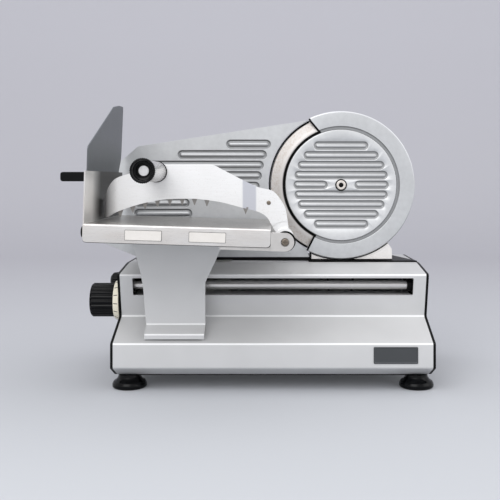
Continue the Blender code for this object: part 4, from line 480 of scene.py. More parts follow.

# %% [markdown]
# Castings come out of the mould with a dull skin of small pits. The skin is noise of three sizes in the tone,
# and its finest one also makes the bump. What looks up gets a painted highlight, what looks down gets painted
# shade, and the hollows of the ribs get painted shade too. That shade could be painted by hand. Here the
# depth behind the plate's face finds the hollows, so the painted shade stays in them if the ribs are moved.

# %% Cast metals
def cast(name, tone, warm, roughness, metallic, pits, shade_below=0.7, face=None):
    """A cast surface with a painted highlight on top, painted shade below, and painted shade in the hollows
    behind a face.
    """
    spot, shader = start_finish(name, metallic=metallic)
    clouds, skin = noise(spot, 35), noise(spot, 0.7, detail=4.0)
    blotches = noise(spot, 6, detail=4.0)
    share = spread(clouds * 0.35 + blotches * 0.35 + skin * 0.3, 0.0, 1.0)
    metal = share.mix(grey(tone * 0.88, warm), grey(tone * 1.08, warm))
    # painted highlight on surfaces that look up
    highlight_mask = facing(spot, "Z", 0.12, 0.6)
    if face:
        # painted shade in the hollows of the ribs, behind the plate's face
        frontal = facing(spot, "Y", -0.15, -0.5)
        hollow_shade = coordinate(spot, "Y").between(level("Y", face + 0.15), level("Y", face + 1.5)) * frontal
        metal = (hollow_shade * 0.8).mix(metal, grey(tone * 0.42, warm))
        highlight_mask = highlight_mask * (1 - hollow_shade) * (1 - frontal * 0.75)
    highlit = highlight_mask.mix(metal, grey(min(tone * 1.5, PALEST), warm))
    # painted shade on surfaces that look down
    shade_below_mask = facing(spot, "Z", -0.12, -0.6) * shade_below
    plug(shader, "Base Color", shade_below_mask.mix(highlit, grey(tone * 0.2, warm)))
    plug(shader, "Roughness", spread(skin, roughness - 0.05, roughness + 0.07))
    bumped(skin, pits, shader)


cast("cast_aluminium", 0.60, -0.018, 0.38, 0.5, 0.02)
cast("cover_aluminium", 0.70, -0.012, 0.34, 0.5, 0.015, 0.6, spans("blade_cover")[0].y)
cast("gauge_aluminium", 0.60, -0.018, 0.38, 0.5, 0.02, 0.6, spans("gauge_plate")[0].y)
cast("bright_casting", 0.84, 0.03, 0.36, 0.35, 0.02, 0.3)
cast("guard_metal", 0.125, -0.08, 0.36, 0.35, 0.02, 0.2)
cast("brass_head", 0.72, 0.07, 0.3, 0.4, 0.01, 0.4)
cast("old_screw", 0.16, 0.2, 0.34, 0.5, 0.01, 0.5)
print("with the castings:", len(finishes), "finishes")

# %% [markdown]
# Rolled and brushed metals carry fine lines in one direction. An anisotropic shader could smear the
# highlight. Fine noise that is stretched along the lines does it in the bump and the roughness, and the
# lines then also show close up. The tray's sheet is brushed along its length, and turned steel across it.

# %% Brushed metals
def brushed(name, tone, warm, roughness, metallic, along, depth, uneven=1.0):
    """Metal with fine lines along one axis."""
    spot, shader = start_finish(name, metallic=metallic)
    stretch = tuple(0.02 if axis == along else 1.0 for axis in "XYZ")
    lines, clouds = noise(spot, 0.35, stretch, 3.0), noise(spot, 45)
    share = spread(lines * 0.6 + clouds * 0.4, 0.0, 1.0)
    tones = grey(tone * (1 - 0.08 * uneven), warm), grey(tone * (1 + 0.05 * uneven), warm)
    plug(shader, "Base Color", share.mix(*tones))
    plug(shader, "Roughness", spread(lines, roughness - 0.05 * uneven, roughness + 0.08 * uneven))
    bumped(lines, depth, shader)
    return spot, shader, share


brushed("satin_aluminium", 0.90, 0.0, 0.36, 0.3, "X", 0.003)
brushed("steel", 0.66, 0.015, 0.26, 0.85, "Y", 0.0008, 0.5)
print("with the brushed metals:", len(finishes), "finishes")

# %% [markdown]
# The tray is the same brushed metal with painted light on it. Its floor gets a painted dark reflection, so it
# is darker than its front, its end wall gets painted shade at the far end, behind the arm, and a painted
# highlight at the near end, and dried juice leaves warm stains. Masks by direction and by depth say where
# each one goes, and the stains are noise stretched along the tray.

# %% Tray sheet
# painted shade on the end wall runs between these two depths
WALL_SHADE_FROM, WALL_SHADE_TO = level("Y", -66), level("Y", -22)
spot, shader, share = brushed("stainless_sheet", 0.66, 0.02, 0.30, 0.75, "X", 0.004)
end_wall = facing(spot, "X", 0.7, 0.95)
behind = coordinate(spot, "Y").between(WALL_SHADE_FROM, WALL_SHADE_TO)
stained = spread(noise(spot, 22, (0.4, 1, 1), 4.0), 0.0, 0.45)
clean = stained.mix(share.mix(grey(0.68, 0.015), grey(0.76, 0.015)), (0.56, 0.50, 0.45, 1))
# painted highlight on the near end of the end wall
near_highlight = (end_wall * (1 - behind)).mix(clean, (0.95, 0.92, 0.88, 1))
# painted shade on the far end of the end wall, and a painted dark reflection on the floor
tray_painted_shade = spot.maths("MAXIMUM", end_wall * behind * 0.97, facing(spot, "Z", 0.8, 0.97) * 0.5)
plug(shader, "Base Color", tray_painted_shade.mix(near_highlight, (0.03, 0.028, 0.024, 1)))
print("the end wall turns dark from", round(WALL_SHADE_FROM, 3), "to", round(WALL_SHADE_TO, 3))

# %% [markdown]
# Zinc plating shows faint crystals that meet at straight borders. Voronoi cells have just that pattern, so
# each cell gets a slightly different tone, with a little grain over it.

# %% Zinc plating
spot, shader = start_finish("zinc_plate", metallic=0.9)
cells = spot.node("TexVoronoi", {}, {"Vector": spot, "Scale": 180.0}, 1)
tone = cells.node("RGBToBW", {}, {0: cells}) * 0.7 + noise(spot, 0.8) * 0.3
plug(shader, "Base Color", tone.mix((0.42, 0.43, 0.42, 1), (0.62, 0.62, 0.58, 1)))
plug(shader, "Roughness", tone * 0.2 + 0.3)
print("metals and paints:", sorted(finishes))

# %% [markdown]
# The blade is ground while it spins, so its marks are rings about its centre. The distance from the centre
# line feeds the noise instead of a place on the sheet, which gives rings at once. The cutting edge is ground
# again at a steeper angle and is mottled by use, so the outer zone gets brown spots. The dish inside it lies
# in the shade of the cover, so that shade is painted into its colour as near black.

# %% Blade steel
BLADE_STEP_RADIUS = 80
spot, shader = start_finish("blade_steel", metallic=0.45)
arm = spot.node("VectorMath", {"operation": "SUBTRACT"}, {0: spot, 1: BENCH @ blade_centre})
flat_arm = spot.node("VectorMath", {"operation": "MULTIPLY"}, {0: arm, 1: (1, 0, 1)})
radius = spot.node("VectorMath", {"operation": "LENGTH"}, {0: flat_arm}, "Value")
rings = noise(spot.node("CombineXYZ", {}, {0: radius}), 0.25, detail=4.0)
outer = radius.between((BLADE_STEP_RADIUS + 5) * MM, (BLADE_STEP_RADIUS + 8) * MM)
# painted shade: inside this radius the dish is near black
unshaded = radius.between((BLADE_STEP_RADIUS + 1.0) * MM, (BLADE_STEP_RADIUS + 1.6) * MM)
stains = spread(noise(spot, 2.5, detail=5.0), -0.25, 0.5) * outer
steel_tone = rings.mix((0.60, 0.575, 0.555, 1), (0.69, 0.66, 0.64, 1))
plug(shader, "Base Color", unshaded.mix(grey(0.003), stains.mix(steel_tone, (0.46, 0.37, 0.29, 1))))
plug(shader, "Roughness", rings * 0.12 + outer * 0.1 + 0.36)
bumped(rings, 0.004, shader)
print("the blade's ground zone starts at", BLADE_STEP_RADIUS + 1, "mm")

# %% [markdown]
# Plastics and rubber are coloured right through. They differ in shine and in the grain of their mould.
# Knobs of this age are a glossy black that has gone a little dull, the dial is a yellowed cream, and the
# labels are pale film. At the end, the pieces of the model that aren't dressed further get their finish by
# the name of their slot.

# %% Plastics and rubber
def moulded(name, low, high, roughness, grain_size, grain, coat=0.0, shine=0.5):
    """A moulded surface between two tones."""
    spot, shader = start_finish(name, coat_roughness=0.15, specular_ior_level=shine)
    clouds, skin = noise(spot, 14), noise(spot, grain_size, detail=3.0)
    share = spread(clouds * 0.6 + skin * 0.4, 0.0, 1.0)
    plug(shader, "Base Color", share.mix(low, high))
    plug(shader, "Roughness", spread(clouds * 0.5 + skin * 0.5, roughness - 0.06, roughness + 0.08))
    plug(shader, "Coat Weight", spread(clouds, coat * 0.8, coat))
    bumped(skin, grain, shader)


moulded("black_plastic", (0.001, 0.0012, 0.0016, 1), (0.003, 0.0033, 0.004, 1), 0.2, 0.5, 0.004, 0.0, 0.16)
moulded("cream_plastic", (0.84, 0.78, 0.62, 1), (0.92, 0.87, 0.72, 1), 0.34, 1.2, 0.004, 0.15)
moulded("nylon", (0.66, 0.64, 0.58, 1), (0.74, 0.72, 0.66, 1), 0.45, 1.0, 0.006)
moulded("label_white", (0.71, 0.68, 0.64, 1), (0.79, 0.76, 0.72, 1), 0.5, 0.8, 0.002, 0.1)
moulded("belt_rubber", (0.010, 0.010, 0.011, 1), (0.022, 0.022, 0.022, 1), 0.7, 0.6, 0.03)
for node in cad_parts.values():
    node.data.materials[0] = finishes[node.data.materials[0].name.split(".")[0]]
print("finishes:", len(finishes))

# %% [markdown]
# A product studio has one seamless sheet of paper that runs from the table up the wall. A plane for the
# floor and another for the wall would show a line between them, so the paper is one thin curved mesh. Its
# tone changes gently from the floor to the wall, and a trace of its own light keeps it calm. The rest is
# lit, so the machine's soft shadow stays on it.

# %% Studio sheet
SWEEP_FRONT, SWEEP_BACK, SWEEP_BEND, SWEEP_TOP, SWEEP_HALF, PAPER = -3000, 2600, 900, 3000, 4000, 4
FLOOR_TONE = (0.575, 0.595, 0.625, 1)
HORIZON_TONE = (0.55, 0.55, 0.59, 1)
WALL_TONE = (0.640, 0.640, 0.685, 1)
OWN_LIGHT = 0.05
spot, shader = start_finish("studio_paper", roughness=0.9, specular_ior_level=0.1,
                            emission_strength=OWN_LIGHT)
back, rise = coordinate(spot, "Y").between(-0.5, 1.6), coordinate(spot, "Z").between(0.0, 0.9)
tones = [tuple(value * (1 - OWN_LIGHT) for value in tone[:3]) + (1,)
         for tone in (FLOOR_TONE, HORIZON_TONE, WALL_TONE)]
paper_tone = rise.mix(back.mix(tones[0], tones[1]), tones[2])
plug(shader, "Base Color", paper_tone)
plug(shader, "Emission Color", paper_tone)

sweep_line = rounded([(SWEEP_FRONT, 0), (SWEEP_BACK, 0), (SWEEP_BACK, SWEEP_TOP)], SWEEP_BEND, 24)
sweep = extrude(sheet(sweep_line, PAPER), "X", -SWEEP_HALF, SWEEP_HALF)
sweep.transform(BENCH)
bmesh.ops.recalc_face_normals(sweep, faces=sweep.faces[:])
sweep_data = bpy.data.meshes.new("studio_sheet")
sweep.to_mesh(sweep_data)
sweep.free()
sweep_data.materials.append(finishes["studio_paper"])
sweep_data.polygons.foreach_set("use_smooth", [True] * len(sweep_data.polygons))
sweep_data.set_sharp_from_angle(angle=radians(40))
studio_sheet = bpy.data.objects.new("studio_sheet", sweep_data)
studio_sheet.location.z = -0.2 * MM
scene.collection.objects.link(studio_sheet)
print("studio sheet:", len(sweep_data.polygons), "faces")

# %% [markdown]
# The light is a bright even room with a large soft lamp from the left front and a weaker one from the
# right. A strong lamp near the camera would burn out the faces that look at it. The room does most of the
# work instead, and the lamps only give the shapes their shade. The camera sees the room in the wall's tone,
# past the edge of the paper.

# %% Lamps
SKY_TONE = (0.88, 0.88, 0.90, 1)
world = bpy.data.worlds.new("studio")
scene.world = world
world.use_nodes = True
room = Wire(world.node_tree)
plug(world.node_tree.nodes["Background"], "Color", room.node("LightPath").mix(SKY_TONE, WALL_TONE))


def softbox(name, spot, aim, size, power):
    """A square soft lamp, placed and aimed in bench millimetres."""
    lamp = bpy.data.lights.new(name, "AREA")
    lamp.size = size * MM
    lamp.energy = power
    thing = bpy.data.objects.new(name, lamp)
    thing.location = BENCH @ Vector(spot)
    thing.rotation_euler = (BENCH @ Vector(aim) - thing.location).to_track_quat("-Z", "Y").to_euler()
    scene.collection.objects.link(thing)


softbox("key", (-500, -1200, 1300), (0, 60, 170), 1200, 13)
softbox("right_fill", (1500, -500, 900), (60, 60, 180), 1200, 6)

# %% [markdown]
# The base is one sheet of metal folded round the motor: a short undercut, an upright face with the badge, a
# sloping ledge, an overhanging face with the slot for the carriage rod, and the deck. A box could be pushed
# and pulled into that shape. Drawn as a section and pulled sideways, every fold runs dead straight, as it
# does from a press brake. The slot and the openings in the deck and the back are then cut out.

# %% Base shell
SHEET, FOLD_RADIUS, FLANGE_REACH = 1.5, 3.5, 24
UNDERCUT, FACE_LOW, FACE_HIGH, LEDGE_BACK, LEDGE_TOP = 30, 14.1, 45.1, 60.5, 69
OVERHANG, OVERHANG_TOP, CREASE, DECK, BASE_BACK = 44, 126.1, 115.5, 133.9, 240
FOLDS = [(UNDERCUT + FLANGE_REACH, 0), (UNDERCUT, 0), (0, FACE_LOW), (0, FACE_HIGH), (LEDGE_BACK, LEDGE_TOP),
         (OVERHANG, OVERHANG_TOP), (CREASE, DECK), (BASE_BACK, DECK), (BASE_BACK, 0),
         (BASE_BACK - FLANGE_REACH, 0)]
SLOT_HALF, SLOT_LOW, SLOT_HIGH, SLOT_CORNER = 183, 115.4, 138.4, 2
BELT_WAY = (67.9, 133, 121.9, 144.8)
POST_WAY = (-122, 134.5, -58, 161.5)
GLAND_HOLE = 8.3

shell_low, shell_high = spans("base_shell")
fold_line = rounded([(depth, shell_low.z + rise) for depth, rise in FOLDS], FOLD_RADIUS)
slot_line = rounded(box_line(-SLOT_HALF, SLOT_LOW, SLOT_HALF, SLOT_HIGH), SLOT_CORNER, closed=True)
gland_centre = middle("cord_gland")
gland_tool = drill(GLAND_HOLE, "Y", (gland_centre.x, gland_centre.z), BASE_BACK - 5, BASE_BACK + 5)
deck_tools = [block(way, "Z", 145, 160) for way in (BELT_WAY, POST_WAY)]
shell = extrude(sheet(fold_line, SHEET), "X", shell_low.x, shell_high.x)
shell = carved(shell, joined(extrude(slot_line, "Y", 40, 72), gland_tool, *deck_tools))
piece("base_folded_shell", shell, "base", "painted_grey", "base_shell", sharp=30)
print("shell:", [round(value, 1) for value in shell_high - shell_low])

# %% [markdown]
# Two black plates close the ends. In the photograph only their edges show, as a thin black line round the
# silver. They follow the same folds, so the same line serves again, this time closed.

# %% End panels
panel_line = rounded([(depth, shell_low.z + rise) for depth, rise in FOLDS[1:-1]], FOLD_RADIUS, closed=True)
for side in ("left", "right"):
    low, high = spans(f"{side}_end_panel")
    piece(f"end_plate_{side}", extrude(panel_line, "X", low.x, high.x), "base", "black_paint",
          f"{side}_end_panel")
print("end panels:", round(high.x - low.x, 1), "mm thick")

# %% [markdown]
# The feet are moulded rubber bells: a neck that flares out to a heavy rim. A lathe makes them, and the flare
# is a row of radii and heights with soft corners, since rubber has no sharp edges. A black rubber strip under
# the front fold is painted shade, the dark line under the base.

# %% Feet
FOOT_RINGS = [(0, 0.3), (20.6, 0), (22, 1.6), (22, 4.8), (20.4, 8.2), (16.8, 10.4), (14.6, 13.6),
              (13.9, 17.2), (3.1, 17.2), (3.1, 24.5), (0, 24.5)]
FOOT_CORNERS = [0, 1.2, 1.5, 2.5, 3, 8, 8, 0.6, 0, 0, 0]
BASE_SHADE_STRIP, BASE_SHADE_CORNER, BASE_SHADE_END = (31, 15.9, 37, 17.7), 0.6, 3
foot_line = rounded(FOOT_RINGS, FOOT_CORNERS, 4)
for name in ("front_left", "front_right", "rear_left", "rear_right"):
    spot = middle(f"foot_{name}")
    piece(f"bell_foot_{name}", lathe(foot_line, "Z", (spot.x, spot.y), 64), "base", "black_plastic",
          f"foot_{name}", sharp=60)
# painted shade: a black strip under the front fold
base_shade_line = rounded(box_line(*BASE_SHADE_STRIP), BASE_SHADE_CORNER, 3, closed=True)
piece("bottom_shade_strip", extrude(base_shade_line, "X", shell_low.x + BASE_SHADE_END, shell_high.x - BASE_SHADE_END), "base",
      "belt_rubber")
print("foot radius:", max(radius for radius, _ in FOOT_RINGS))

# %% [markdown]
# The carriage runs on a ground steel rod behind the slot. A turned part such as this gets small chamfers at
# its ends, and the collar at the right is a separate ring with rounded edges. A cylinder from the menu
# would have knife-sharp ends, so both come off the lathe helper.

# %% Rod and collar
ROD_CHAMFER, COLLAR_RADIUS, COLLAR_GAP = 0.8, 8, 0.3
rod_low, rod_high = spans("guide_rod")
rod_centre = (middle("guide_rod").y, middle("guide_rod").z)
rod_radius = (rod_high.z - rod_low.z) / 2
rod_line = [(0, rod_low.x), (rod_radius - ROD_CHAMFER, rod_low.x), (rod_radius, rod_low.x + ROD_CHAMFER),
            (rod_radius, rod_high.x - ROD_CHAMFER), (rod_radius - ROD_CHAMFER, rod_high.x), (0, rod_high.x)]
piece("ground_rod", lathe(rod_line, "X", rod_centre, 64), "base", "steel", "guide_rod")
collar_low, collar_high = spans("rod_end_nut")
collar_line = rounded(box_line(rod_radius + COLLAR_GAP, collar_low.x, COLLAR_RADIUS, collar_high.x), 1.0,
                      closed=True)
piece("rod_collar", lathe(collar_line, "X", rod_centre, 64), "base", "black_paint", "rod_end_nut", sharp=50)
print("rod radius:", round(rod_radius, 2))

# %% [markdown]
# Two small things catch the eye behind the base's front. Under the rod, the slot shows a pale shelf, the
# sheet's inner fold. Along the deck runs a black block with a short post, painted shade that shows as a dark
# sliver below the gauge plate. The shelf could be one more fold of the shell. As a strip of its own it leaves
# the shell's section simple.

# %% Shelf under the rod and curb on the bed
SHELF_FRONT, SHELF_BACK, SHELF_LOW, SHELF_HIGH = 54.5, 98, 113.4, 114.9
CURB_LEFT, CURB_RIGHT, CURB_FRONT, CURB_BACK, CURB_TOP = -192, 53.6, 130.5, 132.8, 157.6
POST_LEFT, POST_LOW, POST_TOP = 51.3, 157, 176
shelf = block((-SLOT_HALF, SHELF_FRONT, SLOT_HALF, SHELF_BACK), "Z", SHELF_LOW, SHELF_HIGH)
piece("slot_shelf", shelf, "base", "painted_grey", bevel=0.3)
bed_low, bed_high = spans("bed_plate")
# painted shade: a black block and post below the gauge plate
shade_curb = block((CURB_LEFT, CURB_FRONT, CURB_RIGHT, CURB_BACK), "Z", bed_high.z + 0.05, CURB_TOP)
post = block((POST_LEFT, CURB_FRONT, CURB_RIGHT, CURB_BACK), "Z", POST_LOW, POST_TOP)
piece("bed_shade_curb", carved(shade_curb, post, operation="UNION"), "base", "black_paint", bevel=0.3)
print("curb height:", round(CURB_TOP - bed_high.z, 1))

# %% [markdown]
# The badge is a dark cast plate with a raised rim. On the real machine it carries lettering. Here it stays
# bare, and gets the rim, the recess and the mottled dark paint. An inset in the editor would do. Here the
# rim and the recess come from one row of shrinking outlines, each at its own depth.

# %% Badge plate
badge_low, badge_high = spans("badge_plate")
BADGE_STEPS = [(0, badge_high.y), (0, -0.75), (0.5, -1.08), (1.3, -1.08), (1.8, -0.7)]
BADGE_CORNER = 1.5


def inset_box(shrink, depth):
    """The badge's outline, made smaller on all sides, at a depth."""
    corners = box_line(badge_low.x + shrink, badge_low.z + shrink, badge_high.x - shrink,
                       badge_high.z - shrink)
    return [place("Y", spot.x, spot.y, depth) for spot in rounded(corners, BADGE_CORNER, 4, closed=True)]


badge = loft([inset_box(shrink, depth) for shrink, depth in BADGE_STEPS])
piece("badge", badge, "base", "badge_dark", "badge_plate", sharp=25)
print("badge:", [round(value, 1) for value in badge_high - badge_low])

# %% [markdown]
# At the back there is only the grommet for the lead: a flange, a ribbed neck and a bore. The neck's rings
# let such a grommet bend without breaking. They taper a little, so a loop adds each ring's three points to
# the lathe's profile.

# %% Cord grommet
GROMMET_RINGS, RING_STEP, RING_FIRST, BORE = 4, 2.3, 244.2, 3.5
gland_line = [(BORE, 234.5), (7.7, 234.5), (7.7, 240.2), (11, 240.4), (11, 242.4), (10.2, 243.2)]
for ring in range(GROMMET_RINGS):
    start = RING_FIRST + ring * RING_STEP
    gland_line += [(6.4 - ring * 0.15, start), (7.2 - ring * 0.3, start + 0.5),
                   (7.1 - ring * 0.3, start + 1.4)]
gland_line += [(6, 253.6), (5.2, 254), (BORE, 254)]
piece("lead_grommet", lathe(gland_line, "Y", (gland_centre.x, gland_centre.z), 48), "base", "black_plastic",
      "cord_gland", sharp=50)
print("pieces so far:", made_pieces)

# %% [markdown]
# The blade's cover and the gauge plate carry pressed ribs, long shallow pills side by side. Each rib is a
# dip with a soft rim and a low ridge along its middle, which is why the photograph shows a light line in
# each dark one. A bump in the material would be flat at the rim. The tool that cuts a real one is a stack
# of pill outlines, each further in and at its own depth.

# %% Rib tool
RIB_SECTION = [(0.0, 0.0), (0.05, 0.1), (0.14, 0.5), (0.26, 0.9), (0.38, 1.0), (0.52, 0.85), (0.68, 0.45),
               (0.82, 0.25), (0.96, 0.2)]
RIB_CLEARANCE = 3


def pill(left, right, height, radius, depth, face):
    """A pill outline, upright, at a depth."""
    line = ring_line((right, height), radius, -90, 90, 10) + ring_line((left, height), radius, 90, 270, 10)
    return [place("Y", spot.x, spot.y, face + depth) for spot in line]


def rib_tool(left, right, height, width, depth, face):
    """A tool that presses one rib between two ends into a face that looks to the front."""
    half = width / 2
    loops = [pill(left + half, right - half, height, half, -RIB_CLEARANCE, face)]
    loops += [pill(left + half, right - half, height, half * (1 - inset), depth * share, face)
              for inset, share in RIB_SECTION]
    return loft(loops)


print("outlines in a rib:", len(RIB_SECTION))

# %% [markdown]
# The ring guard is a deep ring round the blade, open at the left where the food meets the edge. A torus
# would be round in section, so it is a lathe profile with soft corners, swept through less than a full
# turn. Its upper end is cut off at a slant, and the belt passes through a slot at its back.

# %% Ring guard
centre = (blade_centre.x, blade_centre.z)
ring_low, ring_high = spans("ring_guard")
front, back = ring_low.y, ring_high.y
RING_OUTER, RING_WALL, RING_FACE, RING_INNER = 103.2, 3.2, 2.9, 82
RING_START, RING_SWEEP, SLANT = -116.6, 231.4, 111.2
RING_END, RING_SHELL = RING_START + RING_SWEEP, RING_OUTER - RING_WALL


def ring_point(radius, angle):
    """A flat point at a radius and an angle from the blade's centre."""
    return ring_line(centre, radius, angle, angle, 1)[0]


ring_section = rounded([(RING_INNER, front), (RING_OUTER, front), (RING_OUTER, back), (RING_SHELL, back),
                        (RING_SHELL, front + RING_FACE), (RING_INNER, front + RING_FACE)],
                       [0.7, 2.2, 0.8, 0.8, 0.8, 0.5], closed=True)
ring = lathe(ring_section, "Y", centre, 150, RING_START, RING_SWEEP)
UPPER_END = [ring_point(104, RING_END), ring_point(99.4, RING_END), ring_point(81, SLANT)]
end_line = UPPER_END + [ring_point(76, SLANT), ring_point(76, 118), ring_point(104, 118)]
ring = carved(ring, block(BELT_WAY, "Z", 150, 182), extrude(end_line, "Y", 115, 155))
piece("blade_ring", ring, "base", "cast_aluminium", "ring_guard", sharp=40)
print("ring:", round(ring_low.x, 1), "to", round(ring_high.x, 1))

# %% [markdown]
# Between the ring and its neighbours run thin dark gaps. Real gaps would show the bright blade behind them,
# so small dark pieces stand in them as painted shade: a darker sunken floor inside the ring, a black strip at
# each of its ends, and a black ring round the open side of the blade.

# %% Gaps round the ring
GROOVE_INNER, GROOVE_OUTER, GROOVE_FRONT, GROOVE_BACK = 77.9, 81.8, front + 1.9, front + 2.7
GAP_WIDTH, GAP_FRONT, GAP_BACK = 2.6, front + 0.9, front + 2.6
SKIRT_INNER, SKIRT_OUTER, SKIRT_FRONT, SKIRT_BACK = 99.1, 100.9, 138, 149.6
# painted shade: a darker cast floor for the gap between ring and cover
cast("groove_shade_casting", 0.30, -0.02, 0.45, 0.3, 0.02)
groove_shade = lathe(box_line(GROOVE_INNER, GROOVE_FRONT, GROOVE_OUTER, GROOVE_BACK), "Y", centre, 120,
               RING_START + 0.6, RING_SWEEP - 4.6)
piece("ring_groove_shade", groove_shade, "base", "groove_shade_casting")
upper_line = [ring_point(102.6, RING_END), *UPPER_END[1:]]
lower_line = [ring_point(103, RING_START), ring_point(80, RING_START)]
for name, line, side in (("upper", upper_line, 1), ("lower", lower_line, -1)):
    strip = extrude(sheet(line, GAP_WIDTH * side), "Y", GAP_FRONT, GAP_BACK)
    piece(f"shadow_gap_{name}", strip, "base", "black_paint")
# painted shade: a black ring behind the gap round the blade's open side
shade_skirt = lathe(box_line(SKIRT_INNER, SKIRT_FRONT, SKIRT_OUTER, SKIRT_BACK), "Y", centre, 80, RING_END + 1,
              358 - RING_SWEEP)
piece("blade_shade_skirt", shade_skirt, "base", "black_paint")
print("groove:", round(GROOVE_OUTER - GROOVE_INNER, 1), "mm wide")

# %% [markdown]
# The cover is a disc with a rolled edge, a flat margin and nine rows of ribs. Each row is as long as the
# circle allows at its height, so one formula places all of them. The middle row is split in two by the
# screw.

# %% Blade cover
COVER_RADIUS, COVER_BACK = 77.5, front + 2.9
BOSS_RADIUS, BOSS_BACK, SCREW_HOLE = 9, front + 5.7, 3.3
RIB_ROWS, RIB_REACH, RIB_PITCH, RIB_WIDTH, RIB_DEPTH, SCREW_GAP = 9, 67, 13.7, 12.8, 2.2, 18.2
cover_line = rounded([(SCREW_HOLE, front + 0.05), (COVER_RADIUS, front), (COVER_RADIUS, COVER_BACK),
                      (BOSS_RADIUS, COVER_BACK), (BOSS_RADIUS, BOSS_BACK), (SCREW_HOLE, BOSS_BACK)],
                     [0.3, 1.6, 0.4, 0.5, 0.5, 0.3], closed=True)
cover = lathe(cover_line, "Y", centre, 144)
rib_tools = []
for row in range(RIB_ROWS):
    rise = (row - RIB_ROWS // 2) * RIB_PITCH
    half = sqrt(RIB_REACH ** 2 - rise ** 2)
    ends = [(-half, half)] if rise else [(-half, -SCREW_GAP), (SCREW_GAP, half)]
    rib_tools += [rib_tool(centre[0] + start, centre[0] + end, centre[1] + rise, RIB_WIDTH, RIB_DEPTH, front)
                  for start, end in ends]
piece("ribbed_cover", carved(cover, joined(*rib_tools)), "base", "cover_aluminium", "blade_cover", sharp=50)
print("ribs on the cover:", len(rib_tools))

# %% [markdown]
# One brass-coloured screw holds the cover. Its head is a low drum with a round socket. A thin black disc
# behind it shows as a ring of painted shade round the head. The socket's floor is a black disc of painted
# shade, because a deep hole is darker than the room's light would leave it.

# %% Cover screw
HEAD_RADIUS, SOCKET_RADIUS, SHANK_RADIUS, HEAD_DEPTH = 6.6, 3.3, 2.9, 1.75
head_low, head_high = spans("cover_screw")
head = head_low.y
screw_line = rounded([(0, head + 1.6), (SOCKET_RADIUS, head + 1.6), (SOCKET_RADIUS, head), (5.9, head),
                      (HEAD_RADIUS, head + 0.7), (HEAD_RADIUS, head + HEAD_DEPTH),
                      (SHANK_RADIUS, head + HEAD_DEPTH), (SHANK_RADIUS, head_high.y), (0, head_high.y)],
                     [0, 0.2, 0.3, 0.6, 0.5, 0.2, 0, 0.3, 0], 3)
piece("cover_bolt", lathe(screw_line, "Y", centre, 56), "base", "brass_head", "cover_screw", sharp=30)
# painted shade: black discs for the gap round the head and the socket's floor
DISCS = {"gap_shade": (6.7, head + 1.0, 8.2, front), "socket": (0, head + 1.0, 3.2, head + 1.55)}
for name, corners in DISCS.items():
    disc = lathe(rounded(box_line(*corners), 0.2, 2), "Y", centre, 48)
    piece(f"bolt_{name}", disc, "base", "black_paint", sharp=50)
print("screw head:", 2 * HEAD_RADIUS, "mm across")

# %% [markdown]
# The blade is a thin dish: a flat middle, a step, and the ground zone that slopes to the edge. Only the
# left arc shows from the front. The whole disc turns, so all of it is made, with three holes for the rivets
# of its hub.

# %% Blade
RIVET_CIRCLE, RIVET_HOLE = 27, 2.3
blade_low, blade_high = spans("blade")
blade_line = [(20, 128.5), (78.8, 128.5), (80.2, 128.0), (81.4, 125.9), (82.4, 125.25), (84.5, 125.5),
              (87.4, 126.3), (88.6, 126.8), (97.3, 128.95), (97.5, 129.2), (97.3, 129.5), (89, 131.2),
              (86, 131.5), (20, 131.5)]
holes = [drill(RIVET_HOLE, "Y", spot, 126, 133, 16) for spot in ring_line(centre, RIVET_CIRCLE, 90, 450, 3)]
blade = carved(lathe(blade_line, "Y", centre, 180), joined(*holes))
piece("round_blade", blade, "blade_wheel", "blade_steel", "blade", sharp=14)
print("blade radius:", round((blade_high.x - blade_low.x) / 2, 2))

# %% [markdown]
# The bracket is the white casting that carries everything round the blade. It has a round back plate, a
# stand, a boss for the axle and a foot under the ring, with a thin flange where it is screwed to the deck.
# Two ribs stiffen the stand at the back. Separate blocks would show lines where they meet, so Booleans join
# them, as the foundry casts them in one.

# %% Bracket casting
PLATE_RADIUS, PLATE_FRONT, PLATE_BACK, STAND_BACK, BOSS_END = 99, 145.1, 149.7, 156.4, 158.4
STAND_LEFT, STAND_RIGHT, STAND_LOW, STAND_SHOULDER, STAND_TOP_RADIUS = 54, 166.4, 153.9, 169.4, 34
FOOT_FRONT, FOOT_BACK, FOOT_RISE, FOOT_TIP, SEAT_RADIUS = 126.2, 162, 10, (160.7, 177.9), 104.9
BOSS_SIZE, AXLE_HOLE, RIB_SHIFT, RIB_HALF, RIB_TOP, FLANGE_PLATE = 14, 6.3, 18, 1.5, 262, 1.7
plate_line = rounded(box_line(0, PLATE_FRONT, PLATE_RADIUS, PLATE_BACK), [0, 0.8, 1.6, 0], 4)
stand = [(STAND_LEFT, STAND_LOW), (STAND_RIGHT, STAND_LOW), (STAND_RIGHT, STAND_SHOULDER)]
stand += ring_line(centre, STAND_TOP_RADIUS, 0, 180, 24) + [(STAND_LEFT, STAND_LOW + FOOT_RISE)]
foot = stand[:3] + [FOOT_TIP, (centre[0], STAND_LOW + FOOT_RISE), (STAND_LEFT, STAND_LOW + FOOT_RISE)]
boss = lathe(rounded(box_line(0, 156, BOSS_SIZE, BOSS_END), [0, 0, 0.8, 0], 3), "Y", centre, 48)
ribs = [block((centre[0] + shift - RIB_HALF, STAND_LOW, centre[0] + shift + RIB_HALF, RIB_TOP), "Y", 156,
              BOSS_END - 0.2) for shift in (-RIB_SHIFT, RIB_SHIFT)]
ring_seat = drill(SEAT_RADIUS, "Y", centre, 124, 149.4, 144)
foot_body = carved(extrude(foot, "Y", FOOT_FRONT, FOOT_BACK), ring_seat)
flange = block((STAND_LEFT, STAND_LOW, STAND_RIGHT, STAND_LOW + FLANGE_PLATE), "Y", 125, 163)
casting = carved(lathe(plate_line, "Y", centre, 144), extrude(stand, "Y", 149.4, STAND_BACK), boss, *ribs,
                 foot_body, flange, operation="UNION")
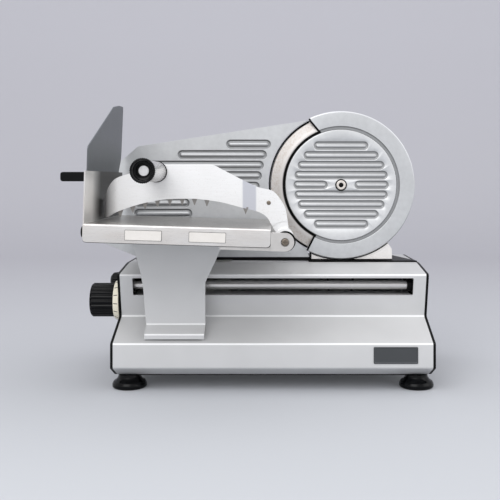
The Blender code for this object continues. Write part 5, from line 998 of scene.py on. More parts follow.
casting = carved(casting, drill(AXLE_HOLE, "Y", centre, 140, 170), block(BELT_WAY, "Z", 152, 182))
piece("white_casting", casting, "base", "bright_casting", "blade_bracket", sharp=30)
print("casting:", round(STAND_RIGHT - STAND_LEFT, 1), "mm wide at its foot")

# %% [markdown]
# Behind the casting the axle ends in a nut. A nut's corners are cut by a cone on the real part. A bevel
# would round its flats too, so here as well a turned body and a hexagon are intersected.

# %% Nut with turned corners
CORNER_CUT, CORNER_SLOPE = 0.13, 0.6


def turned_nut(spot, radius, hole, low, high):
    """A hexagon nut along Y with its corners turned off at both faces."""
    cut = radius * CORNER_CUT
    rise = cut * CORNER_SLOPE
    cone = lathe([(hole, low), (radius - cut, low), (radius, low + rise), (radius, high - rise),
                  (radius - cut, high), (hole, high)], "Y", spot, 48)
    return carved(extrude(ring_line(spot, radius, 0, 360, 6), "Y", low, high), cone, operation="INTERSECT")


nut_low, nut_high = spans("axle_nut")
nut = turned_nut(centre, 10, AXLE_HOLE, nut_low.y, nut_high.y)
piece("axle_hexagon", nut, "base", "steel", "axle_nut", sharp=30)
print("the nut ends at", round(nut_high.y, 1))

# %% [markdown]
# The gauge plate is what the food leans on before it meets the blade. Its outline is straight above and
# steps in below, and a round bite leaves room for the blade. The bite could be a Boolean. As part of the
# outline it gets the same rounded edge as the rest. The rib tool presses five long ribs above the middle
# and four below.

# %% Gauge plate
gauge_low, gauge_high = spans("gauge_plate")
PLATE_LEFT, PLATE_RIGHT, PLATE_HEIGHT = -250, 51, 198.8
OUTLINE_SHARES = [(1.0, 0.0), (0.2, 0.0), (0.038, 0.1), (0.0, 0.14), (0.0, 0.52), (0.137, 0.698),
                  (0.2, 0.782)]
CORNERS = [1, 5, 5, 8, 10, 14, 6]
BITE_RADIUS, BITE_FROM, BITE_TO, BITE_STEPS, BITE_CORNER = 101.4, 116, 241.5, 48, 0.5
UPPER_SHARES = [(0.61, 0.822), (0.383, 0.803), (0.18, 0.789), (0.165, 0.78), (0.165, 0.77)]
LOWER_SHARES = [(0.18, 0.442), (0.18, 0.455), (0.185, 0.468), (0.2, 0.48)]
GAUGE_PITCH, UPPER_RISE, LOWER_DROP, GAUGE_RIB_WIDTH, GAUGE_RIB_DEPTH = 14.8, 57.2, 25.3, 13.6, 2.3


def plate_point(along, up):
    """A point of the plate from its shares of the width and the height."""
    return Vector((PLATE_LEFT + along * (PLATE_RIGHT - PLATE_LEFT), gauge_low.z + up * PLATE_HEIGHT))


bite = ring_line(centre, BITE_RADIUS, BITE_FROM, BITE_TO, BITE_STEPS)
plate_line = rounded([plate_point(*shares) for shares in OUTLINE_SHARES] + bite,
                     CORNERS + [BITE_CORNER] + [0] * (BITE_STEPS - 1) + [BITE_CORNER], closed=True)
gauge = extrude(plate_line, "Y", gauge_low.y, gauge_high.y)
rows = [(shares, UPPER_RISE - row * GAUGE_PITCH) for row, shares in enumerate(UPPER_SHARES)]
rows += [(shares, -LOWER_DROP - row * GAUGE_PITCH) for row, shares in enumerate(LOWER_SHARES)]
gauge_tools = [rib_tool(plate_point(start, 0).x, plate_point(end, 0).x, centre[1] + rise, GAUGE_RIB_WIDTH,
                        GAUGE_RIB_DEPTH, gauge_low.y) for (start, end), rise in rows]
piece("ribbed_gauge_plate", carved(gauge, joined(*gauge_tools)), "gauge", "gauge_aluminium", "gauge_plate",
      bevel=0.9, sharp=60, steps=3)
print("ribs on the gauge plate:", len(gauge_tools))

# %% [markdown]
# The food tray is stainless sheet: a floor that tips a little, an end wall on the left and a flange at the
# front with round lower corners. Its pieces are drawn level, in the tray's own frame, and one matrix tips
# them all. The flange's bend is a bent-sheet section, cut to shape by an intersection with the flange's
# outline.

# %% Tray
TRAY_TIP = 1.72
TRAY_CORNER = Vector((-212, -103.5, 217.5))
TRAY = Matrix.Translation(TRAY_CORNER) @ Matrix.Rotation(radians(TRAY_TIP), 4, "Y")
TRAY_WIDTH, TRAY_DEPTH, END_WALL, FLANGE = 209.6, 219, 59, 20.5
WALL_BEND, FLANGE_BEND, BEND_LENGTH, FLANGE_CORNERS = 2.5, 2.2, 14, [5, 5, 0.1, 0.1]
floor_line = rounded([(TRAY_WIDTH, -SHEET), (0, -SHEET), (0, END_WALL)], WALL_BEND)
tray_body = extrude(sheet(floor_line, SHEET), "Y", 1.0, TRAY_DEPTH)
bend_line = rounded([(BEND_LENGTH, 0), (0, 0), (0, -FLANGE)], FLANGE_BEND)
flange_shape = rounded(box_line(0, -FLANGE, TRAY_WIDTH, 1), FLANGE_CORNERS, closed=True)
bend = carved(extrude(sheet(bend_line, -SHEET), "X", 0, TRAY_WIDTH), extrude(flange_shape, "Y", -2, 30),
              operation="INTERSECT")
wall_front = block((0, -1, SHEET, END_WALL), "Y", 0, 3)
piece("steel_tray", carved(tray_body, bend, wall_front, operation="UNION"), "carriage", "stainless_sheet",
      "tray", within=TRAY, sharp=30)
print("tray tips by", TRAY_TIP, "degrees")

# %% [markdown]
# Two small labels sit on the flange. On the real machine they are printed. Here they are bare: a pale film
# with round corners, on a slightly larger black one that shows as a thin line round it.

# %% Labels
LABEL_HEIGHT, LABEL_DROP, LABEL_WIDTH, LABEL_INSET, LABEL_BACK, LABEL_CORNER = 11.6, 5.5, 41.4, 0.4, -0.3, 0.8
LABEL_LEFT = {"left": 47.1, "right": 118.6}
LAYERS = (("film", 0.0, -0.8, "label_white"), ("border", 0.35, -0.6, "black_paint"))
for side, left in LABEL_LEFT.items():
    for layer, grow, face, finish in LAYERS:
        shrink = LABEL_INSET - grow
        corners = box_line(left + shrink, -LABEL_DROP - LABEL_HEIGHT + shrink, left + LABEL_WIDTH - shrink,
                           -LABEL_DROP - shrink)
        label = extrude(rounded(corners, LABEL_CORNER, 3, closed=True), "Y", face, LABEL_BACK)
        piece(f"label_{layer}_{side}", label, "carriage", finish, f"label_{side}" if layer == "film" else (),
              within=TRAY)
print("labels:", [name for name in made_pieces if name.startswith("label_film")])

# %% [markdown]
# Under the sheet lies a casting: a plate, two bars that end in round ears for the press arm's pivot, and a
# block for the side screw. It is duller than the blade's bracket, so it gets its own tone of cast metal. A
# counterbore in the front ear leaves room for a screw's head.

# %% Tray frame
FRAME_LEFT, FRAME_RIGHT, FRAME_FRONT, FRAME_BACK, FRAME_LOW, FRAME_HIGH = 1, 208.6, 1.8, 199.5, -7.3, -1.8
EAR_X, EAR_Z, EAR_RADIUS, EAR_DEPTH, BAR_LEFT, BAR_RIGHT, BAR_TOP = 226, -14.2, 10.2, 8, 153, 210.2, -4.55
EAR = (EAR_X, EAR_Z)
SIDE_BLOCK, SIDE_BLOCK_LOW = (1, 5, 8, 41), -18.8
cast("ear_casting", 0.55, 0.03, 0.36, 0.45, 0.02)
casting = block((FRAME_LEFT, FRAME_FRONT, FRAME_RIGHT, FRAME_BACK), "Z", FRAME_LOW, FRAME_HIGH)
bars = [block((BAR_LEFT, start, BAR_RIGHT, end), "Z", EAR_Z - EAR_RADIUS, BAR_TOP)
        for start, end in ((FRAME_FRONT, EAR_DEPTH), (FRAME_BACK - EAR_DEPTH, FRAME_BACK))]
bars.append(block(SIDE_BLOCK, "Z", SIDE_BLOCK_LOW, BAR_TOP))
ear_line = [(209.9, EAR_Z + EAR_RADIUS), (209.9, EAR_Z - EAR_RADIUS)]
ear_line += ring_line(EAR, EAR_RADIUS, -90, 90, 24)
ears = [extrude(ear_line, "Y", start, start + EAR_DEPTH) for start in (0, FRAME_BACK - EAR_DEPTH)]
casting = carved(casting, *bars, *ears, operation="UNION")
bore = lathe([(0, -2), (4.9, -2), (4.9, 2.7), (4.3, 2.7), (4.3, 195.5), (0, 195.5)], "Y", EAR, 40)
piece("tray_casting", carved(casting, bore), "carriage", "ear_casting", "tray_frame", bevel=0.45, sharp=50,
      within=TRAY)
print("the ears stand", EAR_X - FRAME_RIGHT, "mm out of the frame")

# %% [markdown]
# An old cross-head screw closes the pivot. A black disc behind the ear shows as a thin ring of painted shade
# round it. The screw's head is turned and its cross is cut by two blocks. A black strip lies behind the
# flange and shows as a dark line of painted shade under it.

# %% Pivot screw and painted shade
CROSS_LONG, CROSS_SHORT, CROSS_DEPTH = 2.6, 0.55, 1.1
SHADE_DISC, SHADE_DISC_SHIFT, FLANGE_SHADE_MARGIN = (5, EAR_DEPTH + 0.05, 11.6, EAR_DEPTH + 0.9), (0.4, 0.6), 0.7
head = lathe(rounded([(0, -0.38), (3.2, -0.3), (4.0, 0.3), (4.1, 2.4), (2, 2.4), (2, 7), (0, 7)],
                     [0, 2, 1, 0.1, 0.1, 0, 0], 4), "Y", EAR, 48)
cross = [block((EAR_X - wide, EAR_Z - high, EAR_X + wide, EAR_Z + high), "Y", -1, CROSS_DEPTH)
         for wide, high in ((CROSS_LONG, CROSS_SHORT), (CROSS_SHORT, CROSS_LONG))]
piece("cross_head_screw", carved(head, *cross), "carriage", "old_screw", "pivot_screw", sharp=40, within=TRAY)
# painted shade: a black disc behind the ear, a little larger than it
shade_disc = lathe(box_line(*SHADE_DISC), "Y", (EAR_X + SHADE_DISC_SHIFT[0], EAR_Z + SHADE_DISC_SHIFT[1]), 64)
piece("pivot_shade_disc", shade_disc, "carriage", "black_plastic", within=TRAY)
# painted shade: a black strip behind the flange, a little larger than it
flange_shade_shape = rounded(box_line(-FLANGE_SHADE_MARGIN / 2, -FLANGE - FLANGE_SHADE_MARGIN, TRAY_WIDTH + FLANGE_SHADE_MARGIN, -2), FLANGE_CORNERS,
                       closed=True)
piece("flange_shade_strip", extrude(flange_shade_shape, "Y", SHEET + 0.02, SHEET + 0.27), "carriage", "belt_rubber",
      within=TRAY)
print("washer:", 2 * SHADE_DISC[2], "mm across")

# %% [markdown]
# The screw in the tray's side has a knurled rim, as have the knobs further on. A knurl could be modelled
# tooth by tooth. It is a rule about radii, so the lathe asks a small function for each radius, and a cosine
# makes the grooves.

# %% Knurled side screw
def knurl(count, depth, least):
    """A flute function: shallow grooves where the radius is over a least value."""
    def fluted(radius, angle):
        return radius - depth * (0.5 - 0.5 * cos(count * angle)) ** 2 if radius > least else radius
    return fluted


SIDE_SPOT, SIDE_RADIUS, SIDE_GROOVES = (14, -10), 6.5, 24
side_line = rounded([(0, -3.6), (5, -4.25), (SIDE_RADIUS, -3.4), (SIDE_RADIUS, 0.6), (0, 0.6)],
                    [0, 1.5, 1.0, 0.2, 0], 4)
side_screw = lathe(side_line, "X", SIDE_SPOT, 120, flute=knurl(SIDE_GROOVES, 0.35, SIDE_RADIUS - 0.5))
piece("side_screw", side_screw, "carriage", "black_plastic", "side_bolt", sharp=60, within=TRAY)
print("grooves on the side screw:", SIDE_GROOVES)

# %% [markdown]
# The leg is thick painted plate. It narrows in a long curve under the tray, steps forward in two folds near
# the ledge, and has a flange on top. The curve comes from shares of the leg's width and height, smoothed at
# each point. The folds are a bent-sheet section that is as wide as the leg's lower end.

# %% Leg plate
LEG_LEFT, LEG_WIDTH, LEG_FRONT, LEG_PLATE, FOLD_Z, LEG_SPAN = -181, 116.2, 20, 4, 83, 125.97
STEP_FRONT, STEP_HIGH, STEP_LOW, STEP_BEND = 3, 73.5, 67.5, 3
FLANGE_INSET, FLANGE_DEPTH = 8, 62
LEFT_SHARES = [(0.176, 0), (0.161, 0.126), (0.141, 0.374), (0.112, 0.515), (0.072, 0.656), (0.047, 0.755),
               (0.006, 0.805), (0.0, 0.88)]
RIGHT_SHARES = [(1.0, 0.88), (1.0, 0.778), (0.84, 0.463), (0.816, 0.416), (0.818, 0.0)]
LEG_CORNERS = [0, 120, 120, 90, 90, 30, 6, 6, 2, 2, 6, 14, 10, 8, 0]


def leg_top(x):
    """Height of the leg's top, under the tipped frame."""
    return FOLD_Z + LEG_SPAN - (x - LEG_LEFT) * tan(radians(TRAY_TIP))


def leg_point(share, up):
    """A point of the leg from its shares of the width and the height."""
    return LEG_LEFT + share * LEG_WIDTH, FOLD_Z + up * LEG_SPAN


leg_right = LEG_LEFT + LEG_WIDTH
leg_points = [leg_point(*shares) for shares in LEFT_SHARES]
leg_points += [(LEG_LEFT, leg_top(LEG_LEFT)), (leg_right, leg_top(leg_right))]
leg_points += [leg_point(*shares) for shares in RIGHT_SHARES]
leg = extrude(rounded(leg_points, LEG_CORNERS, 6, closed=True), "Y", LEG_FRONT, LEG_FRONT + LEG_PLATE)
step_line = rounded([(LEG_FRONT, FOLD_Z + 6), (LEG_FRONT, FOLD_Z), (STEP_FRONT, STEP_HIGH),
                     (STEP_FRONT, STEP_LOW)],
                    [0, STEP_BEND, STEP_BEND, 0])
foot = extrude(sheet(step_line, -LEG_PLATE), "X", leg_points[0][0], leg_points[-1][0])
ends = (LEG_LEFT + FLANGE_INSET, leg_right - FLANGE_INSET)
top_line = [(x, leg_top(x)) for x in ends] + [(x, leg_top(x) - LEG_PLATE) for x in ends[::-1]]
top_flange = extrude(top_line, "Y", LEG_FRONT + 0.3, FLANGE_DEPTH)
print("leg:", len(leg_points), "points")

# %% [markdown]
# At the back of the leg, a lug holds the roller that rests on the overhanging face. It leans with that
# face, so it is drawn flat and one matrix puts it in place, at the slope of the base's folds. The leg, its
# folded foot, the flange and the lug are then joined into one plate.

# %% Roller lug and whole leg
LUG_HALF, LUG_REACH, LUG_END, LUG_LOW, LUG_HIGH, PIN_HOLE = 9, 26, 5, 5.6, 10.1, 2.3
roller_low, roller_high = spans("support_roller")
lean = atan2(LEDGE_BACK - OVERHANG, OVERHANG_TOP - LEDGE_TOP)
ROLLER = Matrix.Translation((roller_low + roller_high) / 2) @ Matrix.Rotation(lean, 4, "X")
lug_line = rounded(box_line(-LUG_HALF, -LUG_REACH, LUG_HALF, LUG_END), [0, 0, 4, 4], closed=True)
pin_tool = drill(PIN_HOLE, "Z", (0, 0), LUG_LOW - 1.6, LUG_HIGH + 1.9, 24)
lug = carved(extrude(lug_line, "Z", LUG_LOW, LUG_HIGH), pin_tool)
lug.transform(ROLLER)
leg = carved(leg, foot, top_flange, lug, operation="UNION")
piece("folded_leg", leg, "carriage", "painted_grey", "carriage_leg", bevel=0.35, sharp=50)
print("the lug leans by", round(lean * 180 / pi, 1), "degrees")

# %% [markdown]
# The hand guard is a grey painted plate beside the end wall. It leans with the tray, so it is drawn upright
# and then sheared, which keeps its lower edge level. The stub of a grip to its left is a soft-edged block
# of black plastic, with the largest bevel of them all.

# %% Hand guard and grip
GUARD_FRONT, GUARD_DEPTH, GUARD_LOW, GUARD_HEIGHT = -84, 202.5, 255, 112.5
GUARD_LEFT, GUARD_RIGHT = -214.1, -212.6
GUARD_SHARES = [(0, 0), (0.86, 0), (0.913, 0.21), (0.982, 0.36), (1, 0.957), (0.992, 1), (0.866, 0.993),
                (0.681, 0.95), (0.59, 0.878), (0, 0.441)]
GUARD_CORNERS = [2, 2, 20, 30, 4, 3, 12, 16, 12, 6]
guard_line = rounded([(GUARD_FRONT + back * GUARD_DEPTH, GUARD_LOW + up * GUARD_HEIGHT)
                      for back, up in GUARD_SHARES], GUARD_CORNERS, closed=True)
guard = extrude(guard_line, "X", GUARD_LEFT, GUARD_RIGHT)
for vert in guard.verts:
    vert.co.x += (vert.co.z - TRAY_CORNER.z) * sin(radians(TRAY_TIP))
piece("hand_guard_plate", guard, "carriage", "guard_metal", "hand_guard", bevel=0.5, sharp=60, steps=3)
grip_low, grip_high = spans("push_grip")
grip_line = rounded(box_line(grip_low.x, grip_low.z, grip_high.x - 0.2, grip_high.z), [3.5, 1, 1, 3.5], 6,
                    closed=True)
piece("black_grip", extrude(grip_line, "Y", grip_low.y, grip_high.y), "carriage", "black_plastic",
      "push_grip", bevel=1.6, sharp=50, steps=4)
print("guard leans by", round(GUARD_HEIGHT * sin(radians(TRAY_TIP)), 1))

# %% [markdown]
# The press arm is the shape that people notice: a satin plate like a wing, stepped back near its pivot and
# curled back at its free end. A curve object could be bent by hand. Here shares of the arm's size give the
# lower and the upper edge, and averaging them over a short span gives smooth edges without any corner in
# them.

# %% Edges of the press arm
ARM_REACH, ARM_HEIGHT = 219.8, 88.8
PIVOT_SPOT = TRAY @ Vector((EAR_X, 0, EAR_Z))
PIVOT = (PIVOT_SPOT.x, PIVOT_SPOT.z)
EDGE_SHARES = [(-0.025, 0.06, 0.114), (-0.012, 0.03, 0.383), (0.023, 0.03, 0.537), (0.058, 0.066, 0.634),
               (0.07, 0.2, 0.646), (0.096, 0.287, 0.657), (0.143, 0.35, 0.681), (0.24, 0.412, 0.797),
               (0.342, 0.48, 0.929), (0.396, 0.501, 1.0), (0.482, 0.527, 0.997), (0.576, 0.527, 0.993),
               (0.661, 0.519, 0.99), (0.77, 0.47, 0.92), (0.856, 0.408, 0.865), (0.91, 0.358, 0.827),
               (0.949, 0.321, 0.769), (0.98, 0.27, 0.653), (1.0, 0.28, 0.518)]
LOWER, UPPER = 1, 2
ARM_FROM, ARM_TO = EDGE_SHARES[0][0], EDGE_SHARES[-1][0]
SMOOTH_SPAN, SMOOTH_SAMPLES = 0.022, 9


def edge_share(share, column):
    """An edge's height between two rows, as a share of the arm's height."""
    share = min(max(share, ARM_FROM), ARM_TO)
    for one, two in zip(EDGE_SHARES, EDGE_SHARES[1:]):
        if share <= two[0]:
            return one[column] + (two[column] - one[column]) * (share - one[0]) / (two[0] - one[0])


def arm_edge(share, column):
    """The lower or upper edge's height at a share of the reach, smoothed."""
    span = SMOOTH_SPAN * min(1, (share - ARM_FROM) / 0.05, max(0, ARM_TO - share) / 0.03)
    reach = SMOOTH_SAMPLES // 2
    samples = [edge_share(share + span * (step / reach - 1), column) for step in range(SMOOTH_SAMPLES)]
    return PIVOT[1] + sum(samples) / SMOOTH_SAMPLES * ARM_HEIGHT


def arm_x(share):
    """The place along the base of a share of the arm's reach."""
    return PIVOT[0] - share * ARM_REACH


print("the arm is", round(arm_edge(0.5, UPPER) - arm_edge(0.5, LOWER), 1), "mm high in its middle")

# %% [markdown]
# The plate is a loft through many stations along those edges. Seen from above, the stations follow a line
# with a straight step between two folds, and a quarter circle for the curl. Its stations lie closer
# together, so that it stays round. The boss at the pivot and the holes are added with Booleans.

# %% Press arm
ARM_PLATE, FRONT_RIGHT, FRONT_LEFT, TAIL = 2.5, -19.5, -27.5, 12
STEP_FROM, STEP_TO, CURL_START, CURL_STEPS, STATION, STATIONS = 0.143, 0.24, 0.91, 12, 0.0085, 110
BOSS_SECTION, BOSS_BORE, HANDLE_BORE, RIVET_BORE = (0, -28.25, 11.6, -8.25), 6.8, 3.3, 2.0
HANDLE = (middle("handle_bolt").x, middle("handle_bolt").z)
RIVET = (arm_x(0.085), PIVOT[1] + 0.47 * ARM_HEIGHT)
shares = [share for share in (ARM_FROM + step * STATION for step in range(STATIONS)) if share < CURL_START]
shares += [CURL_START + (1 - CURL_START) * sin(pi / 2 * step / CURL_STEPS) for step in range(CURL_STEPS + 1)]
plan, heights = [], []
for share in shares:
    stepped = min(1, max(0, (share - STEP_FROM) / (STEP_TO - STEP_FROM)))
    curled = min(1, max(0, (share - CURL_START) / (1 - CURL_START)))
    depth = FRONT_RIGHT + (FRONT_LEFT - FRONT_RIGHT) * stepped
    depth += (1 - CURL_START) * ARM_REACH * (1 - sqrt(1 - curled ** 2))
    plan.append(Vector((arm_x(share), depth)))
    heights.append((arm_edge(share, LOWER), arm_edge(share, UPPER)))
plan.append(plan[-1] + Vector((0, TAIL)))
heights.append(heights[-1])
back_line = sheet(plan, ARM_PLATE)[len(plan):][::-1]
if back_line[len(plan) // 2].y < plan[len(plan) // 2].y:
    back_line = sheet(plan, -ARM_PLATE)[len(plan):][::-1]
arm = loft([[Vector((spot.x, spot.y, height))
             for spot, height in ((one, low), (one, high), (two, high), (two, low))]
            for one, two, (low, high) in zip(plan, back_line, heights)])
boss = lathe(rounded(box_line(*BOSS_SECTION), [0, 1, 1, 0], 4), "Y", PIVOT, 64)
bores = [drill(radius, "Y", spot, -40, 0)
         for radius, spot in ((BOSS_BORE, PIVOT), (HANDLE_BORE, HANDLE), (RIVET_BORE, RIVET))]
arm = carved(carved(arm, boss, operation="UNION"), joined(*bores))
print("arm stations:", len(plan))

# %% [markdown]
# The arm's face is satin and scuffed. The step between its folds gets a painted reflection of the darker
# floor, a cooler, darker tone, by a mask that runs between the two folds. A thin groove turned round the boss
# finishes the piece.

# %% Finish of the press arm
MASK_EDGE, MASK_INSET = 0.9 * MM, 2.6 * MM
RIM_GROOVE = (18.2, -40, 19.0, -18.4)
spot, shader, share = brushed("arm_plate", 0.90, 0.0, 0.36, 0.3, "X", 0.003)
across = coordinate(spot, "X")
fold_left, fold_right = level("X", arm_x(STEP_TO)) + MASK_INSET, level("X", arm_x(STEP_FROM)) - MASK_INSET
after_left = across.between(fold_left - MASK_EDGE, fold_left + MASK_EDGE)
before_right = across.between(fold_right + MASK_EDGE, fold_right - MASK_EDGE)
dirt = spread(noise(spot, 1.2, detail=5.0), -1.6, 0.5)
plate_tone = dirt.mix(share.mix(grey(0.84), grey(0.93)), (0.60, 0.55, 0.50, 1))
# painted reflection: the step between the folds is cooler and darker
plug(shader, "Base Color", (after_left * before_right).mix(plate_tone, (0.57, 0.58, 0.63, 1)))
rim_groove = lathe(box_line(*RIM_GROOVE), "Y", PIVOT, 72)
piece("wing_arm", carved(arm, rim_groove), "press", "arm_plate", "press_arm", sharp=25)
print("the step spans", round((fold_right - fold_left) / MM, 1), "mm")

# %% [markdown]
# Teeth along the arm's lower edge hold the food. They are one thin strip behind the plate, with a point at
# each step of a fixed pitch, and one more tooth stands alone further right. A modifier could repeat one
# tooth. The strip follows the curve of the arm's edge, so a loop asks the edge for its height at each
# tooth.

# %% Teeth
TEETH, TOOTH_START_SHARE, TOOTH_PITCH_SHARE = 8, 0.426, 0.068
TOOTH_HALF, TOOTH_TIP, TOOTH_DROP, STRIP = 3.4, 0.35, 8.2, 14
LONE_SHARE, LONE_HALF, LONE_DROP = 0.212, 3.5, 8.8
lower, upper = [], []
for tooth in range(TEETH):
    share = TOOTH_START_SHARE + tooth * TOOTH_PITCH_SHARE
    for offset, drop in ((-TOOTH_HALF, 0), (-TOOTH_TIP, TOOTH_DROP), (TOOTH_TIP, TOOTH_DROP),
                         (TOOTH_HALF, 0)):
        spot = share + offset / ARM_REACH
        lower.append((arm_x(spot), arm_edge(spot, LOWER) + 0.5 - drop))
    for offset in (-TOOTH_HALF, TOOTH_HALF):
        spot = share + offset / ARM_REACH
        upper.append((arm_x(spot), arm_edge(spot, LOWER) + STRIP))
strip = extrude(lower + upper[::-1], "Y", -24.7, -23.2)
lone_x, lone_top = arm_x(LONE_SHARE), arm_edge(LONE_SHARE, LOWER) + 1.5
spike = extrude([(lone_x - LONE_HALF, lone_top), (lone_x, lone_top - LONE_DROP),
                 (lone_x + LONE_HALF, lone_top)],
                "Y", -24.9, -23.6)
cast("tooth_steel", 0.26, 0.05, 0.34, 0.5, 0.005)
piece("saw_teeth", joined(strip, spike), "press", "tooth_steel", "toothed_strip", sharp=30)
print("teeth:", TEETH + 1)

# %% [markdown]
# The rivet beside the pivot has a domed head in front, and a hammered one behind the plate. Both are in one
# lathe profile, with the shank between them.

# %% Rivet
rivet_line = rounded([(0, -20.8), (1.9, -20.6), (2.8, -19.9), (1.7, -19.8), (1.7, -16.7), (2.8, -16.7),
                      (1.6, -15.7), (0, -15.7)], [0, 0.8, 0.2, 0, 0, 0.3, 0.5, 0], 3)
piece("domed_rivet", lathe(rivet_line, "Y", RIVET, 40), "press", "old_screw", "arm_rivet", sharp=50)
print("rivet at", [round(value, 1) for value in RIVET])

# %% [markdown]
# The handle sticks out towards the reader: a steel tube between a washer and a black cap. The cap's rim has
# fine notches for the fingers, cut by the same knurl function as the side screw's, and its cup steps down
# to the bolt.

# %% Handle
TUBE_RADIUS, TUBE_WALL, COLLAR_OUTER, CAP_RADIUS, NOTCHES = 12.2, 1.0, 13, 14, 40
cap = spans("handle_cap")[0].y
tube_low, tube_high = spans("handle_tube")
washer_low, washer_high = spans("handle_washer")
collar_line = rounded(box_line(HANDLE_BORE, washer_low.y, COLLAR_OUTER, washer_high.y), 0.5, 3, closed=True)
piece("handle_collar", lathe(collar_line, "Y", HANDLE, 64), "press", "black_plastic", "handle_washer",
      sharp=50)
tube_line = rounded(box_line(TUBE_RADIUS - TUBE_WALL, tube_low.y, TUBE_RADIUS, tube_high.y), 0.3, 3,
                    closed=True)
piece("handle_sleeve", lathe(tube_line, "Y", HANDLE, 96), "press", "steel", "handle_tube", sharp=50)
cap_line = rounded([(12.3, cap), (CAP_RADIUS, cap + 0.7), (CAP_RADIUS, cap + 5.2), (10.9, cap + 5.2),
                    (10.9, cap + 15.7), (HANDLE_BORE, cap + 15.7), (HANDLE_BORE, cap + 13.1),
                    (8.2, cap + 13.1), (8.2, cap + 6), (10.3, cap + 5.6), (11.5, cap + 0.6)],
                   [0.5, 0.7, 0.5, 0.1, 0.3, 0, 0, 0.5, 0.5, 0.5, 0.5], 3, closed=True)
notched = lathe(cap_line, "Y", HANDLE, 240, flute=knurl(NOTCHES, 0.5, CAP_RADIUS - 0.8))
piece("notched_cap", notched, "press", "black_plastic", "handle_cap", sharp=50)
print("handle at", [round(value, 1) for value in HANDLE])

# %% [markdown]
# In the cup shines the bolt's head, with four small pin holes for a spanner. Behind the arm the bolt ends
# in a nut. Both use helpers from above: a drill for each hole, and the turned nut.

# %% Handle bolt and nut
BOLT_RADIUS, BOLT_SHANK, BOLT_HEAD, PIN_CIRCLE, PIN_RADIUS, PIN_DEPTH = 5.7, 3, 2.4, 3.0, 0.75, 1.2
bolt_low, bolt_high = spans("handle_bolt")
bolt_line = rounded([(0, bolt_low.y), (BOLT_RADIUS, bolt_low.y), (BOLT_RADIUS, bolt_low.y + BOLT_HEAD),
                     (BOLT_SHANK, bolt_low.y + BOLT_HEAD), (BOLT_SHANK, bolt_high.y), (0, bolt_high.y)],
                    [0, 0.5, 0.3, 0, 0.6, 0], 4)
pin_holes = [drill(PIN_RADIUS, "Y", spot, bolt_low.y - 1, bolt_low.y + PIN_DEPTH, 14)
             for spot in ring_line(HANDLE, PIN_CIRCLE, 45, 405, 4)]
piece("pin_bolt", carved(lathe(bolt_line, "Y", HANDLE, 64), joined(*pin_holes)), "press", "satin_aluminium",
      "handle_bolt", sharp=40)
nut_low, nut_high = spans("handle_nut")
nut = turned_nut(HANDLE, 6, HANDLE_BORE, nut_low.y, nut_high.y)
piece("handle_hexagon", nut, "press", "steel", "handle_nut", sharp=30)
print("pin holes:", len(pin_holes))

# %% [markdown]
# The thickness knob is black and fluted, with a soft edge and a dished face. It turns on the left end
# panel, so its lathe runs along X. The flutes stop at the rim, because the knurl function leaves smaller
# radii alone.

# %% Thickness knob
knob_centre = (middle("thickness_knob").y, middle("thickness_knob").z)
knob_low, knob_high = spans("thickness_knob")
KNOB_RADIUS, FLUTES, FLUTE, SPINDLE_HOLE = 22.5, 20, 1.4, 4.3
knob_front, knob_back = knob_low.x - 1.2, knob_high.x + 2.1
knob_line = rounded([(0, knob_front + 1.4), (15.5, knob_front + 1.4), (17, knob_front), (20.6, knob_front),
                     (KNOB_RADIUS, knob_front + 2.6), (KNOB_RADIUS, knob_back), (SPINDLE_HOLE, knob_back),
                     (SPINDLE_HOLE, knob_front + 8), (0, knob_front + 8)],
                    [0, 0.8, 0.8, 1.8, 1.2, 0.4, 0, 0, 0], 5)
knob = lathe(knob_line, "X", knob_centre, 320, flute=knurl(FLUTES, FLUTE, KNOB_RADIUS - 1.5))
piece("fluted_knob", knob, "thickness_control", "black_plastic", "thickness_knob", sharp=60)
print("knob:", round(knob_back - knob_front, 1), "mm deep")

# %% [markdown]
# Behind the knob the cream dial carries small black marks round its rim. They would be print on the real
# dial, and an image would need a file. So each mark is a thin raised strip, lofted on the dial's cone and
# turned to its angle.

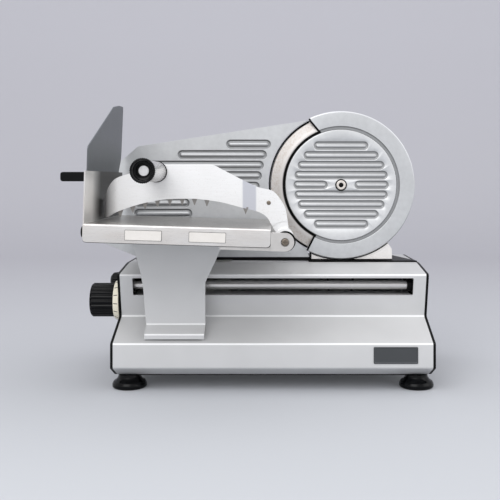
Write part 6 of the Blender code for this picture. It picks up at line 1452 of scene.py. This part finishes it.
# %% Dial and its marks
DIAL_FRONT, DIAL_BACK, DIAL_SETBACK = 25, 28, 2.1
MARKS, FIRST_MARK, MARK_REACH, MARK_MARGIN = 15, 69.3, 5.5, 1.4
MARK_HALF, MARK_SUNK, MARK_PROUD = 0.45, 0.5, 0.08
dial_low, dial_high = spans("thickness_dial")
dial_start, dial_end = dial_low.x + DIAL_SETBACK, dial_high.x
dial_line = rounded([(SPINDLE_HOLE, dial_start), (DIAL_FRONT, dial_start), (DIAL_BACK, dial_end),
                     (SPINDLE_HOLE, dial_end)], [0, 0.9, 0.6, 0], 3, closed=True)
piece("cream_dial", lathe(dial_line, "X", knob_centre, 144), "thickness_control", "cream_plastic",
      "thickness_dial", sharp=60)
mark_loops = []
for along in (dial_end - MARK_MARGIN - MARK_REACH, dial_end - MARK_MARGIN):
    outer = DIAL_FRONT + (DIAL_BACK - DIAL_FRONT) * (along - dial_start) / (dial_end - dial_start)
    mark_loops.append([Vector((along, side, radius)) for side, radius in
                       box_line(-MARK_HALF, outer - MARK_SUNK, MARK_HALF, outer + MARK_PROUD)])
marks = []
for mark in range(MARKS):
    strip = loft(mark_loops)
    turn = Matrix.Rotation(radians(FIRST_MARK + 360 * mark / MARKS), 4, "X")
    strip.transform(Matrix.Translation((0, *knob_centre)) @ turn)
    marks.append(strip)
piece("dial_marks", joined(*marks), "thickness_control", "black_paint")
print("dial marks:", len(marks))

# %% [markdown]
# Behind the dial a black edge shows in the photograph, which is read as the switch's knob. It is smaller
# and plainer than the thickness knob: a turned button with a light knurl on its widest part.

# %% Switch knob
SWITCH_RADIUS, SWITCH_STEM, STEM_REACH, SWITCH_GROOVES = 14, 5, 7.3, 16
switch_centre = (middle("switch_knob").y, middle("switch_knob").z)
switch_low, switch_high = spans("switch_knob")
button_back = switch_high.x - STEM_REACH
switch_line = rounded([(0, switch_low.x + 0.6), (7.5, switch_low.x), (11.5, switch_low.x + 3.6),
                       (SWITCH_RADIUS, button_back), (SWITCH_STEM, button_back), (SWITCH_STEM, switch_high.x),
                       (0, switch_high.x)], [0, 2, 3, 0.6, 0, 0, 0], 5)
button = lathe(switch_line, "X", switch_centre, 160, flute=knurl(SWITCH_GROOVES, 0.7, SWITCH_RADIUS - 3))
piece("switch_button", button, "switch", "black_plastic", "switch_knob", sharp=60)
print("pieces made:", len(made_pieces))

# %% [markdown]
